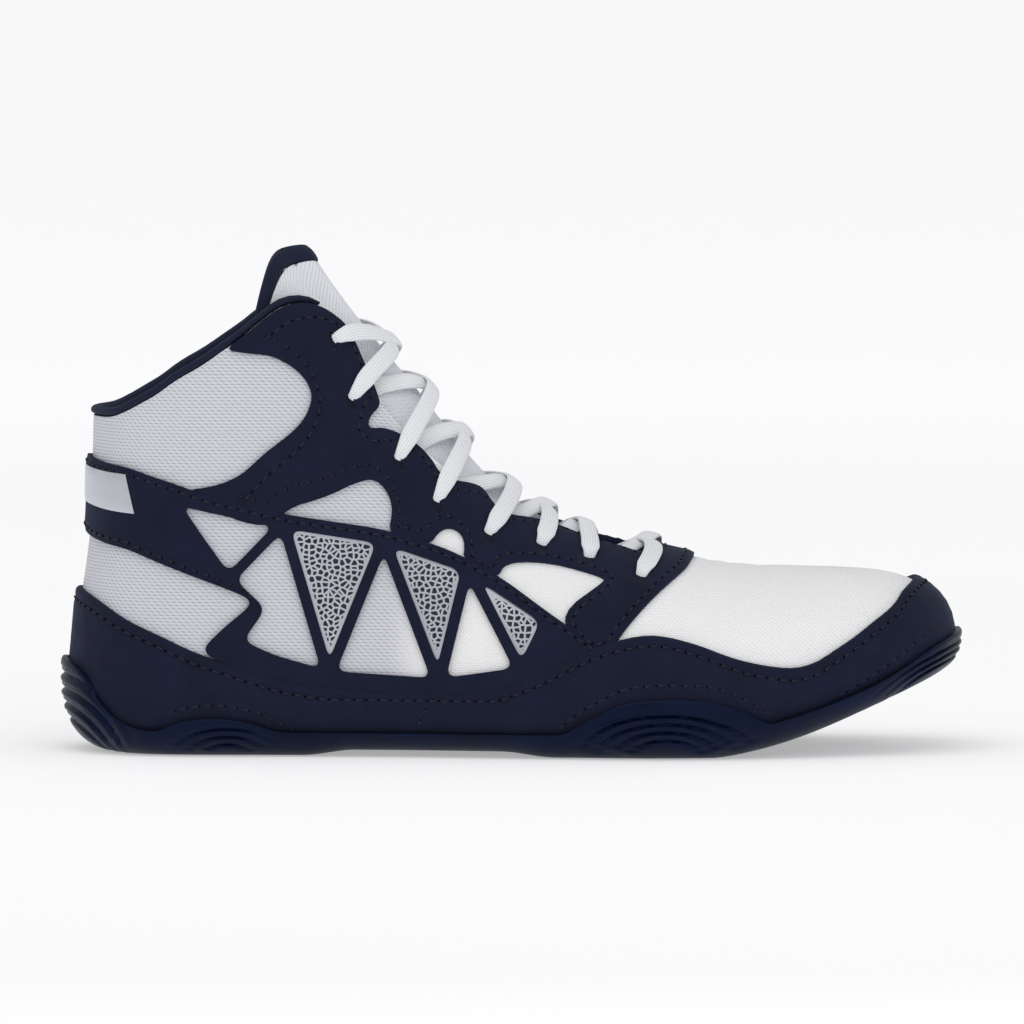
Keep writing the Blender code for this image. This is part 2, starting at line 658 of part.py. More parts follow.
RIDGE = ridge_table()
RIDGE_BACK = [(length, share) for share, length in RIDGE]


def over_ridge(spot):
    """A chart across the ridge, in lengths: the lateral side lies below nought."""
    station = station_at(along(RIDGE_BACK, spot.x))
    turn = turn_at_gap(station, min(abs(spot.y) / THROAT_SPAN, 1))
    return (MEDIAL if spot.y > 0 else LATERAL), station, turn


def ridge_chart(share, reach):
    return (along(RIDGE, share), reach * THROAT_SPAN)


def tongue_depth(share, reach):
    """The tongue's outer face: under the wall at its sides, bulging up in the throat."""
    under = -along(TONGUE_DEPTH, share) * MM
    gap = along(THROAT, share) if share < THROAT[-1][0] else 0
    return under + (TONGUE_TOP - under) * smooth((gap - reach - 0.10) / 0.30)


def tongue_row(row, columns):
    """The places of one row of the tongue, from the lateral to the medial edge."""
    share, half, sweep = row
    spots = []
    for column in range(columns + 1):
        across = 2 * column / columns - 1
        back = share - sweep * abs(across) ** 1.6
        spots.append((MEDIAL if across > 0 else LATERAL, back, half * abs(across), abs(across)))
    return spots


def tongue_thickness(across):
    """Full in the middle, thin towards the sides."""
    return TONGUE_EDGE + (TONGUE_PAD - TONGUE_EDGE) * smooth((1 - across) / 0.35)


def tongue():
    columns = 10
    loops = []
    for row in TONGUE:
        top, bottom = [], []
        for side, share, reach, across in tongue_row(row, columns):
            station = station_at(share)
            turn = turn_at_gap(station, reach)
            depth = tongue_depth(share, reach)
            top.append(skin(side, station, turn, depth))
            bottom.append(skin(side, station, turn, depth - tongue_thickness(across)))
        loops.append(top + bottom[::-1])
    return loft("tongue", paint("tongue_mesh", (0.8, 0.81, 0.83), 0.8), loops, ring=False)


def tongue_binding():
    """A soft fold over the tongue's top edge."""
    columns = 10
    loops = []
    for side, back, reach, across in tongue_row(TONGUE[0], columns):
        face = tongue_depth(back, reach)
        loop = []
        for ahead, out in FOLD:
            share = back - ahead * BINDING / LENGTH
            station = station_at(share)
            depth = face + out * BINDING - (0 if out > 0 else tongue_thickness(across))
            loop.append(skin(side, station, turn_at_gap(station, reach), depth))
        loops.append(loop)
    return loft("tongue_binding", paint("navy_binding", (0.012, 0.018, 0.05), 0.8), loops, ring=False)


def collar_binding():
    """The rolled edge of the collar, with its lining down the inside."""
    profile = [(out * ROLL, up * ROLL_RISE) for out, up in COLLAR_ROLL]
    profile += [(-ROLL, -ROLL_DEPTH), (LINING_BACK * ROLL, -ROLL_DEPTH), (LINING_BACK * ROLL, profile[0][1])]
    path = [(LATERAL, station) for station in reversed(RIBS) if catmull(CURVES["x"], station) < COLLAR_END]
    path += [(MEDIAL, station) for side, station in reversed(path[:-1])]
    loops = []
    for side, station in path:
        top = edge_turn(station)
        rate = (last(side, station, top + 0.01) - last(side, station, top - 0.01)).length / 0.02
        loops.append([skin(side, station, top + up / rate, out) for out, up in profile])
    return loft("collar_binding", paint("navy_knit", (0.012, 0.018, 0.05), 0.8), loops, ring=False)


def bow(start, crest, stop, y):
    """Where a taut lace lies at y: it leaves start, meets the ridge at crest and comes down to stop."""
    near = y * (y - stop.y) / (start.y * (start.y - stop.y))
    far = y * (y - start.y) / (stop.y * (stop.y - start.y))
    return start.x * near + crest * (1 - near - far) + stop.x * far


def bowed_strip(start, crest, stop, width):
    """A strip along a lace's line, as a loop of chart points."""
    heights = [start.y + (stop.y - start.y) * step / LACE_STEPS for step in range(LACE_STEPS + 1)]
    line = [Vector((bow(start, crest, stop, y), y)) for y in heights]
    left, right = [], []
    for before, spot, after in zip(line[:1] + line[:-1], line, line[1:] + line[-1:]):
        run = (after - before).normalized()
        half = Vector((-run.y, run.x)) * width / 2
        left.append(tuple(spot - half))
        right.append(tuple(spot + half))
    return left + right[::-1]


def lace_crossing(number):
    """Both laces between one pair of eyelets and the next: they start on the facings at the lower pair and
    dive under the opposite ones at the upper pair. The topmost two go into its eyelets instead."""
    (share, reach), (low_share, low_reach) = EYELETS[number], EYELETS[number + 1]
    crest_share, dive_share = CROSSINGS[number]
    crest = along(RIDGE, crest_share)
    end = LACE_SEAT if number == 0 else LACE_END
    if number > 0:
        share, reach = dive_share, along(THROAT, dive_share) - 0.15
    runs = [(Vector(ridge_chart(low_share, side * low_reach)), Vector(ridge_chart(share, -side * reach)))
            for side in (LATERAL, MEDIAL)]

    def lift(spot):
        """Highest over its own facing, and low where it ends."""
        near = []
        for start, stop in runs:
            part = (spot.y - start.y) / (stop.y - start.y)
            near.append((abs(spot.x - bow(start, crest, stop, spot.y)), part))
        return end + (LACE_SEAT - end) * smooth((1 - min(near)[1]) * 3)

    return panel(f"lace_crossing_{number + 1}", paint("white_lace", (0.9, 0.9, 0.9), 0.7),
                 [bowed_strip(start, crest, stop, LACE_WIDTH) for start, stop in runs], [], over_ridge,
                 lift, lambda spot: lift(spot) + LACE, LACE_FACET)


for old in list(bpy.data.objects):
    bpy.data.objects.remove(old, do_unlink=True)

upper()
outsole()
insole()
mudguard()
saddle_band()
eyestay(LATERAL, "eyestay_lateral")
eyestay(MEDIAL, "eyestay_medial")
tongue()
tongue_binding()
collar_binding()
for crossing in range(len(EYELETS) - 1):
    lace_crossing(crossing)
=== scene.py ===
import bisect
import math

import bmesh
import bpy
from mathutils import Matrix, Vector, geometry


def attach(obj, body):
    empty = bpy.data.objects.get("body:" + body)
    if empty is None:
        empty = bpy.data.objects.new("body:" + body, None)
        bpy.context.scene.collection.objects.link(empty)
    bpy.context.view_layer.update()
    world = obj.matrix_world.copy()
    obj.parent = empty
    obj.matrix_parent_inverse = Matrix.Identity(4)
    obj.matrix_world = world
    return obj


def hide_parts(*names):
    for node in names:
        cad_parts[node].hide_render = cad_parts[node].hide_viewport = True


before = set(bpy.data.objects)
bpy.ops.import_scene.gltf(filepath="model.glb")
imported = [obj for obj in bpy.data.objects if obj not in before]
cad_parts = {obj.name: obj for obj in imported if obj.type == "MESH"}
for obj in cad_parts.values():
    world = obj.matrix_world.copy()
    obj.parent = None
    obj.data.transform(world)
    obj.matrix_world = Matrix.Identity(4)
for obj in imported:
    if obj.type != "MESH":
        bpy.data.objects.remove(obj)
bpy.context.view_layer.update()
print("frame loaded")

mm = 0.001
lateral, medial = -1, 1
bothSides = ((lateral, "lateral"), (medial, "medial"))
quarter = math.pi / 2

# The shoe's own sizes, as the solids have them
length = 288 * mm
ballWidth = 95 * mm
heelWidth = 66 * mm
toeHeight = 58 * mm
topHeight = 157 * mm
collarHeight = 107 * mm
leanHeight = 80 * mm
plate = 6.5 * mm
toeSpring = 26 * mm
belly = 12 * mm
tuck = 6 * mm
wall = 2.2 * mm
suede = 1.2 * mm
seat = 0.52 * mm  # from the last to the suede pieces
clear = 2.24 * mm  # from the last to the rubber
widthRun = (0.29, 0.67)  # the width goes from heel to ball between these shares of length
springRun = (0.722, 0.988)  # the toe spring rises between these
springCurve = 1.4

# One row for each section of the last, from the back of the heel round to the toe.
# x and spine are shares of length from the heel; lateral, medial and mid are shares of the width there;
# rise is the ridge between toeHeight and topHeight; crown is the roundness of the section's top;
# lean is how far the wall draws in up to leanHeight; belly is a share of belly.
sectionColumns = ("x", "lateral", "medial", "spine", "mid", "rise", "crown", "lean", "belly")
sections = (
    (0.014, 0.000, 0.000, 0.112, 0.000, 1.72, 2.6, 0.20, 1.35),
    (0.029, 0.262, 0.262, 0.115, 0.000, 1.71, 2.6, 0.19, 1.29),
    (0.070, 0.440, 0.433, 0.122, 0.000, 1.69, 2.6, 0.12, 1.12),
    (0.140, 0.509, 0.500, 0.140, 0.000, 1.64, 2.6, 0.08, 1.00),
    (0.223, 0.521, 0.503, 0.223, 0.000, 1.29, 2.4, 0.06, 1.00),
    (0.309, 0.534, 0.500, 0.309, 0.000, 0.905, 2.3, 0.05, 1.00),
    (0.396, 0.528, 0.475, 0.396, 0.000, 0.590, 2.15, 0.02, 1.00),
    (0.483, 0.519, 0.447, 0.483, 0.000, 0.285, 2.05, 0.00, 1.00),
    (0.569, 0.502, 0.440, 0.569, 0.005, 0.130, 2.1, 0.00, 1.00),
    (0.656, 0.503, 0.482, 0.656, 0.016, 0.064, 2.25, 0.00, 1.00),
    (0.743, 0.474, 0.501, 0.743, 0.032, 0.012, 2.35, 0.00, 0.94),
    (0.829, 0.408, 0.469, 0.819, 0.047, 0.000, 2.4, 0.00, 0.82),
    (0.905, 0.326, 0.405, 0.847, 0.058, -0.003, 2.35, 0.00, 0.65),
    (0.956, 0.216, 0.321, 0.860, 0.068, -0.006, 2.3, 0.00, 0.47),
    (0.981, 0.074, 0.211, 0.867, 0.074, -0.007, 2.3, 0.00, 0.36),
    (0.987, -0.084, 0.084, 0.871, 0.079, -0.007, 2.3, 0.00, 0.30),
)
lastRow = len(sections) - 1

# The collar's edge: share of length, and share of the height from collarHeight to topHeight
collarEdge = (
    (0.014, 0.00), (0.046, 0.01), (0.078, 0.08), (0.114, 0.19), (0.155, 0.33), (0.193, 0.48), (0.223, 0.62),
    (0.242, 0.70), (0.265, 0.735), (0.282, 0.72), (0.299, 0.67),
)
# The throat's edge: share of length, and half the gap as a share of the half width there
throatEdge = (
    (0.318, 0.50), (0.351, 0.56), (0.389, 0.585), (0.431, 0.53), (0.479, 0.43), (0.531, 0.33),
    (0.580, 0.30), (0.621, 0.29), (0.645, 0.25), (0.663, 0.18), (0.673, 0.10),
)
throatEnd = 0.679
collarEnd = 0.290  # the rolled edge ends here on both sides

# The top of the rubber: share of length, and height over the ground line as a share of the tallest hump
rubberTop = (
    (0.000, 1.63), (0.033, 1.38), (0.052, 0.92), (0.068, 0.62), (0.088, 0.44), (0.108, 0.38), (0.122, 0.50),
    (0.141, 0.60), (0.179, 0.64), (0.218, 0.54), (0.246, 0.36), (0.267, 0.28), (0.500, 0.28), (0.549, 0.29),
    (0.572, 0.54), (0.597, 0.74), (0.624, 0.94), (0.657, 1.01), (0.698, 1.01), (0.728, 0.94), (0.757, 0.70),
    (0.781, 0.40), (0.793, 0.29), (0.845, 0.28), (0.883, 0.36), (0.931, 0.52), (0.947, 0.60), (0.969, 0.64),
    (1.000, 0.60),
)
# How far the ground edge is tucked in: share of length, and share of the sole's tuck
tuckedIn = ((0.000, 1.80), (0.060, 1.25), (0.120, 1.00), (0.850, 1.00), (1.000, 0.50))

# Outlines on the wall are rows of share of length and share of the height from the widest line to the ridge
mudguardTop = (
    (0.014, 0.142), (0.044, 0.131), (0.082, 0.110), (0.112, 0.095), (0.149, 0.076), (0.206, 0.055),
    (0.244, 0.040), (0.288, 0.031), (0.377, 0.027), (0.440, 0.032), (0.480, 0.050), (0.505, 0.090),
    (0.532, 0.150), (0.569, 0.263), (0.594, 0.341), (0.621, 0.401), (0.647, 0.442), (0.669, 0.450),
    (0.692, 0.432), (0.717, 0.396), (0.753, 0.309), (0.790, 0.221), (0.809, 0.184), (0.827, 0.179),
    (0.840, 0.200), (0.856, 0.257), (0.879, 0.344), (0.902, 0.450), (0.924, 0.547), (0.936, 0.611),
    (0.953, 0.708), (0.981, 0.800), (0.987, 0.807),
)
saddleTop = (
    (0.588, 0.372), (0.546, 0.477), (0.487, 0.578), (0.441, 0.564), (0.412, 0.535), (0.357, 0.484),
    (0.254, 0.381), (0.168, 0.335), (0.129, 0.334), (0.072, 0.350), (0.014, 0.350),
)
saddleLow = (
    (0.014, 0.232), (0.074, 0.224), (0.120, 0.204), (0.166, 0.193), (0.208, 0.187), (0.214, 0.174),
    (0.182, 0.121), (0.156, 0.088), (0.206, 0.066), (0.244, 0.051), (0.288, 0.043), (0.377, 0.040),
    (0.440, 0.045), (0.480, 0.065), (0.505, 0.106), (0.532, 0.168), (0.569, 0.282), (0.588, 0.340),
)
# The zigzag between the saddle band's edges, and the windows between its corners
zigzag = (
    (0.126, 0.310), (0.188, 0.206), (0.249, 0.358), (0.299, 0.056), (0.360, 0.460), (0.421, 0.060),
    (0.452, 0.540), (0.512, 0.150), (0.540, 0.450),
)
rearLeg = ((0.236, 0.078), (0.196, 0.100), (0.222, 0.170))
facingOutline = (
    (0.318, 0.932), (0.338, 0.884), (0.350, 0.850), (0.355, 0.822), (0.343, 0.765), (0.341, 0.728),
    (0.363, 0.781), (0.394, 0.815), (0.410, 0.814), (0.421, 0.792), (0.437, 0.824), (0.455, 0.880),
    (0.467, 0.906), (0.478, 0.881), (0.492, 0.875), (0.526, 0.945), (0.547, 0.968), (0.574, 0.972),
    (0.596, 0.969), (0.619, 0.968), (0.642, 0.950), (0.658, 0.985), (0.668, 0.9992), (0.705, 0.9992),
    (0.697, 0.950), (0.683, 0.863), (0.660, 0.719), (0.634, 0.534), (0.622, 0.440), (0.612, 0.340),
    (0.588, 0.300), (0.572, 0.370), (0.553, 0.490), (0.604, 0.743), (0.602, 0.777), (0.571, 0.786),
    (0.533, 0.753), (0.494, 0.664), (0.484, 0.560), (0.447, 0.545), (0.449, 0.643), (0.439, 0.655),
    (0.423, 0.611), (0.409, 0.515), (0.364, 0.470), (0.370, 0.567), (0.362, 0.606), (0.349, 0.610),
    (0.333, 0.574), (0.296, 0.472), (0.250, 0.385), (0.235, 0.330), (0.150, 0.305), (0.140, 0.325),
    (0.172, 0.352), (0.201, 0.398), (0.221, 0.452), (0.252, 0.536), (0.270, 0.601), (0.279, 0.656),
    (0.280, 0.688), (0.270, 0.702), (0.252, 0.690), (0.232, 0.667), (0.205, 0.625),
)
# The eyelets, top to toe: share of length, and share of the half width away from the ridge
eyelets = (
    (0.301, 0.600), (0.322, 0.720), (0.374, 0.750), (0.417, 0.760), (0.473, 0.698), (0.532, 0.576),
    (0.586, 0.541), (0.642, 0.640),
)
# The crossings of the laces, top to toe: where they meet the ridge and where the laces' ends lie, as shares
crossings = (
    (0.360, 0.301), (0.400, 0.347), (0.440, 0.397), (0.492, 0.449), (0.532, 0.499), (0.573, 0.551),
    (0.645, 0.610),
)
# The tongue: share of length on the ridge, half its width as a share, and how far its sides sweep back
tongueRows = (
    (0.289, 0.79, 0.060), (0.299, 0.79, 0.054), (0.315, 0.79, 0.046), (0.335, 0.79, 0.032),
    (0.360, 0.79, 0.022), (0.390, 0.79, 0.012), (0.420, 0.78, 0.004), (0.450, 0.74, 0.0),
    (0.480, 0.68, 0.0), (0.510, 0.62, 0.0), (0.540, 0.57, 0.0), (0.570, 0.53, 0.0), (0.600, 0.50, 0.0),
    (0.630, 0.48, 0.0), (0.655, 0.46, 0.0), (0.680, 0.42, 0.0), (0.700, 0.38, 0.0),
)
tongueDepths = ((0.210, 6.2), (0.300, 5.2), (0.370, 3.2), (0.600, 3.2), (0.700, 3.4))  # under the last, in mm


# Nought to one along an S, flat at both ends.
def smooth(share):
    share = min(max(share, 0.0), 1.0)
    return share * share * (3 - 2 * share)


# A smooth line through evenly spaced values, the first and last of which lie outside it.
def catmull(values, place):
    step = min(int(place), len(values) - 4)
    part = place - step
    before, start, stop, after = values[step:step + 4]
    bend = 2 * before - 5 * start + 4 * stop - after
    twist = 3 * (start - stop) + after - before
    return start + 0.5 * part * (stop - before + part * (bend + part * twist))


# A straight-line reading of a two-column table.
def along(table, share):
    step = bisect.bisect_right([row[0] for row in table], share)
    step = min(max(step, 1), len(table) - 1)
    (left, low), (right, high) = table[step - 1], table[step]
    part = min(max((share - left) / (right - left), 0.0), 1.0)
    return low + (high - low) * part


# A smooth reading of a two-column table: cubic between its rows, with the slope of their neighbours
def curved(table, share):
    step = bisect.bisect_right([row[0] for row in table], share)
    step = min(max(step, 1), len(table) - 1)
    rows = [table[min(max(step + offset, 0), len(table) - 1)] for offset in (-2, -1, 0, 1)]
    (left, low), (right, high) = rows[1], rows[2]
    span = right - left
    part = min(max((share - left) / span, 0.0), 1.0)
    start = (high - rows[0][1]) / (right - rows[0][0]) * span
    stop = (rows[3][1] - low) / (rows[3][0] - left) * span
    bend = 3 * (high - low) - 2 * start - stop
    twist = 2 * (low - high) + start + stop
    return low + part * (start + part * (bend + part * twist))


# The width that the sections' half widths are shares of, from heel width to ball width.
def widthAt(share):
    start, stop = widthRun
    return heelWidth + (ballWidth - heelWidth) * smooth((share - start) / (stop - start))


# Each column of sections with a row added at either end, mirrored round heel and toe.
def sectionCurves():
    curves = {}
    for number, name in enumerate(sectionColumns):
        column = [row[number] for row in sections]
        curves[name] = [column[1]] + column + [column[-2]]
    widths = {side: [row[1 if side == lateral else 2] * widthAt(row[0]) for row in sections]
              for side in (lateral, medial)}
    for side, values in widths.items():
        other = widths[-side]
        curves[side] = [-other[1]] + values + [-other[-2]]
    return curves


curves = sectionCurves()


# Height of the underside's line: flat, then the toe spring.
def ground(share):
    start, stop = springRun
    return toeSpring * (max(share - start, 0.0) / (stop - start)) ** springCurve


# From a share of length to X.
def acrossLength(share):
    return (share - 0.5) * length


# A point of the last: station counts the rows of sections, turn runs from the bottom edge (-1) past the
# widest line (0) to the ridge (1). Past heel, toe or ridge it goes on down the other side.
def last(side, station, turn):
    if turn > 1:
        side, turn = -side, 2 - turn
    if station < 0:
        side, station = -side, -station
    if station > lastRow:
        side, station = -side, 2 * lastRow - station
    share = catmull(curves["x"], station)
    spineX = acrossLength(catmull(curves["spine"], station))
    spine = Vector((spineX, catmull(curves["mid"], station) * ballWidth))
    wide = Vector((acrossLength(share), side * catmull(curves[side], station)))
    edgeZ = ground(share) + plate
    wideZ = edgeZ + belly * catmull(curves["belly"], station)
    if turn >= 0:
        power = 2 / catmull(curves["crown"], station)
        reach = max(math.cos(turn * quarter), 0.0) ** power
        topZ = toeHeight + (topHeight - toeHeight) * catmull(curves["rise"], station)
        z = wideZ + (topZ - wideZ) * math.sin(turn * quarter) ** power
        reach *= 1 - catmull(curves["lean"], station) * smooth((z - wideZ) / (leanHeight - wideZ))
    else:
        reach = 1 - tuck / (wide - spine).length * (1 - math.cos(turn * quarter))
        z = wideZ + (wideZ - edgeZ) * math.sin(turn * quarter)
    spot = spine + (wide - spine) * reach
    return Vector((spot.x, spot.y, z))


# A point at a distance out from the last, square to it.
def skin(side, station, turn, out=0.0):
    here = last(side, station, turn)
    if out == 0:
        return here
    ahead, behind = station + 0.02, station - 0.02
    if turn > 0.9:
        ahead, behind = min(ahead, lastRow), max(behind, 0)
    high, low = turn + 0.01, max(turn - 0.01, -1)
    forward = last(side, ahead, turn) - last(side, behind, turn)
    upward = last(side, station, high) - last(side, station, low)
    return here + forward.cross(upward).normalized() * (out * -side)


# The station whose widest point lies at this share of length.
def stationAt(share):
    low, high = 0.0, float(lastRow)
    for _ in range(40):
        middle = (low + high) / 2
        if catmull(curves["x"], middle) < share:
            low = middle
        else:
            high = middle
    return (low + high) / 2


# Heights of the bottom edge, the widest line and the ridge at a station.
def heights(station):
    edgeZ = ground(catmull(curves["x"], station)) + plate
    wideZ = edgeZ + belly * catmull(curves["belly"], station)
    return edgeZ, wideZ, toeHeight + (topHeight - toeHeight) * catmull(curves["rise"], station)


# The turn at which the last is this high.
def turnAtHeight(station, z):
    edgeZ, wideZ, ridgeZ = heights(station)
    if z < wideZ:
        return -math.asin(min((wideZ - z) / (wideZ - edgeZ), 1.0)) / quarter
    up = min((z - wideZ) / (ridgeZ - wideZ), 1.0)
    return math.asin(up ** (catmull(curves["crown"], station) / 2)) / quarter


# The turn at which the last is this share of its half width away from the ridge.
def turnAtGap(station, gap):
    return math.acos(gap ** (catmull(curves["crown"], station) / 2)) / quarter


# The edge of the collar and the throat, as turns.
def edgeTable():
    table = []
    for share, height in collarEdge:
        station = stationAt(share)
        table.append((share, turnAtHeight(station, collarHeight + (topHeight - collarHeight) * height)))
    for share, gap in throatEdge:
        table.append((share, turnAtGap(stationAt(share), gap)))
    table.append((throatEnd, 1.0))
    return table


edgeTurns = edgeTable()


# Where the upper's wall ends at a station.
def edgeTurn(station):
    share = catmull(curves["x"], station)
    return min(curved(edgeTurns, share), 1.0) if share < throatEnd else 1.0


# Mesh helpers

# Faces a closed mesh outwards and links it as one object at the origin.
def finishMesh(name, mesh, materials, weld=0.02 * mm, sharp=40):
    bmesh.ops.remove_doubles(mesh, verts=mesh.verts, dist=weld)
    bmesh.ops.recalc_face_normals(mesh, faces=mesh.faces)
    if mesh.calc_volume(signed=True) < 0:
        bmesh.ops.reverse_faces(mesh, faces=mesh.faces)
    data = bpy.data.meshes.new(name)
    mesh.to_mesh(data)
    mesh.free()
    for material in materials:
        data.materials.append(material)
    data.shade_smooth()
    data.set_sharp_from_angle(angle=math.radians(sharp))
    piece = bpy.data.objects.new(name, data)
    bpy.context.scene.collection.objects.link(piece)
    return piece


# Joins closed loops of points into one solid. Its UV map, in millimetres, runs along and round the loops.
def loft(name, materials, loops, ring=True, skip=None, inner=None, centre=0):
    mesh = bmesh.new()
    chart = mesh.loops.layers.uv.new("cloth")
    rows = [[mesh.verts.new(point) for point in loop] for loop in loops]
    count = len(loops[0])
    lengthways = [0.0]
    for one, two in zip(loops, loops[1:] + loops[:1]):
        lengthways.append(lengthways[-1] + (two[centre] - one[centre]).length / mm)
    rounds = []
    for loop in loops:
        steps = [0.0]
        for one, two in zip(loop, loop[1:] + loop[:1]):
            steps.append(steps[-1] + (two - one).length / mm)
        rounds.append(steps)
    for number in range(len(rows) - (0 if ring else 1)):
        other = (number + 1) % len(rows)
        for side in range(count):
            if skip and skip(number, side):
                continue
            turn = (side + 1) % count
            near, far = rows[number], rows[other]
            face = mesh.faces.new((near[side], near[turn], far[turn], far[side]))
            face.material_index = 1 if inner and inner(side) else 0
            places = ((number, number, side), (number, number, side + 1),
                      (number + 1, other, side + 1), (number + 1, other, side))
            for corner, (place, row, step) in zip(face.loops, places):
                corner[chart].uv = (lengthways[place], rounds[row][step])
    if not ring:
        mesh.faces.new(rows[0])
        mesh.faces.new(rows[-1])
    return finishMesh(name, mesh, materials)


def stationsOf(steps):
    return [place / steps for place in range(lastRow * steps)] + [lastRow]


# The stations on the lateral side to the toe and back along the medial side.
def roundTheShoe(places):
    return [(lateral, place) for place in places] + [(medial, place) for place in reversed(places[1:-1])]


# Millimetres of cloth in one unit of turn at a place
def turnRate(side, station, turn):
    return (last(side, station, turn + 0.01) - last(side, station, turn - 0.01)).length / 0.02


# Charts: flat maps of the last that outlines are drawn in
stride = 23 * mm  # length given to one row of sections
girth = 75 * mm  # and to the turn from the widest line to the ridge
throatSpan = 38 * mm  # and to the half width beside the throat


def wallPlace(side):
    return lambda spot: (side, spot.x / stride, spot.y / girth)


def wallChart(rows):
    points = []
    for share, up in rows:
        station = stationAt(share)
        _, wideZ, ridgeZ = heights(station)
        turn = turnAtHeight(station, wideZ + (ridgeZ - wideZ) * up)
        points.append(Vector((station * stride, turn * girth)))
    return points


def heelPlace(spot):
    station = abs(spot.x) / stride
    return medial if spot.x > 0 else lateral, station, turnAtHeight(station, spot.y)


def heelChart(rows, side):
    points = []
    for share, up in rows:
        station = stationAt(share) if share > sections[0][0] else 0.0
        _, wideZ, ridgeZ = heights(station)
        points.append(Vector((side * station * stride, wideZ + (ridgeZ - wideZ) * up)))
    return points


def ridgeTable():
    table, total, before = [], 0.0, None
    for step in range(121):
        share = 0.25 + 0.0039 * step
        spot = last(lateral, stationAt(share), 1)
        if before:
            total += (spot - before).length
        table.append((share, total))
        before = spot
    return table


ridge = ridgeTable()
ridgeBack = [(run, share) for share, run in ridge]


def overRidge(spot):
    station = stationAt(along(ridgeBack, spot.x))
    return (medial if spot.y > 0 else lateral), station, turnAtGap(station, min(abs(spot.y) / throatSpan, 1))


def ridgeChart(share, reach):
    return Vector((along(ridge, share), reach * throatSpan))


# Rounds the corners of a loop with arcs that begin a radius away from each corner
def roundCorners(loop, radius, steps=5):
    points = []
    for before, here, after in zip(loop[-1:] + loop[:-1], loop, loop[1:] + loop[:1]):
        back, ahead = before - here, after - here
        start = here + back.normalized() * min(radius, 0.45 * back.length)
        stop = here + ahead.normalized() * min(radius, 0.45 * ahead.length)
        for step in range(steps + 1):
            part = step / steps
            points.append(start.lerp(here, part).lerp(here.lerp(stop, part), part))
    return points


# Rounds the corners of a loop by cutting them
def soften(loop, rounds=2, cut=0.25):
    for _ in range(rounds):
        points = []
        for one, two in zip(loop, loop[1:] + loop[:1]):
            points += [one.lerp(two, cut), two.lerp(one, cut)]
        loop = points
    return loop


def signedArea(loop):
    return sum(one.x * two.y - two.x * one.y for one, two in zip(loop, loop[1:] + loop[:1])) / 2


# A loop moved inwards by a depth, corner by corner
def inset(loop, depth):
    turn = 1 if signedArea(loop) > 0 else -1
    points = []
    for before, here, after in zip(loop[-1:] + loop[:-1], loop, loop[1:] + loop[:1]):
        one, two = (here - before).normalized(), (after - here).normalized()
        middle = Vector((-(one.y + two.y), one.x + two.x))
        if middle.length < 1e-6:
            continue
        middle.normalize()
        share = max(middle.dot(Vector((-one.y, one.x))), 0.5)
        points.append(here + middle * (turn * depth / share))
    return points


# The loop with no side longer than a step
def divided(loop, step):
    points = []
    for one, two in zip(loop, loop[1:] + loop[:1]):
        parts = max(math.ceil((two - one).length / step), 1)
        points += [one.lerp(two, part / parts) for part in range(parts)]
    return points


def inside(spot, loop):
    odd = False
    for one, two in zip(loop, loop[1:] + loop[:1]):
        if (one.y > spot.y) != (two.y > spot.y):
            if spot.x < one.x + (spot.y - one.y) / (two.y - one.y) * (two.x - one.x):
                odd = not odd
    return odd


# The sides of some loops: a start, the way to the end and that way's square
def edgesOf(loops):
    return [(one, two - one, max((two - one).length_squared, 1e-12))
            for loop in loops for one, two in zip(loop, loop[1:] + loop[:1])]


# How far a flat point lies from the nearest side
def fromEdge(spot, edges):
    best = 1.0
    for start, run, square in edges:
        part = min(max((spot - start).dot(run) / square, 0.0), 1.0)
        best = min(best, (spot - start - run * part).length_squared)
    return math.sqrt(best)


# The points of a grid with every other row shifted that lie well inside the first loop and outside the others
def gridInside(loops, sides, step):
    points = [point for loop in loops for point in loop]
    left, right = min(p.x for p in points), max(p.x for p in points)
    floor, roof = min(p.y for p in points), max(p.y for p in points)
    found = []
    for row in range(int((roof - floor) / step) + 1):
        for column in range(int((right - left) / step) + 1):
            spot = Vector((left + (column + 0.5 * (row % 2)) * step, floor + row * step))
            if inside(spot, loops[0]) and not any(inside(spot, loop) for loop in loops[1:]):
                if fromEdge(spot, sides) > 0.5 * step:
                    found.append(spot)
    return found


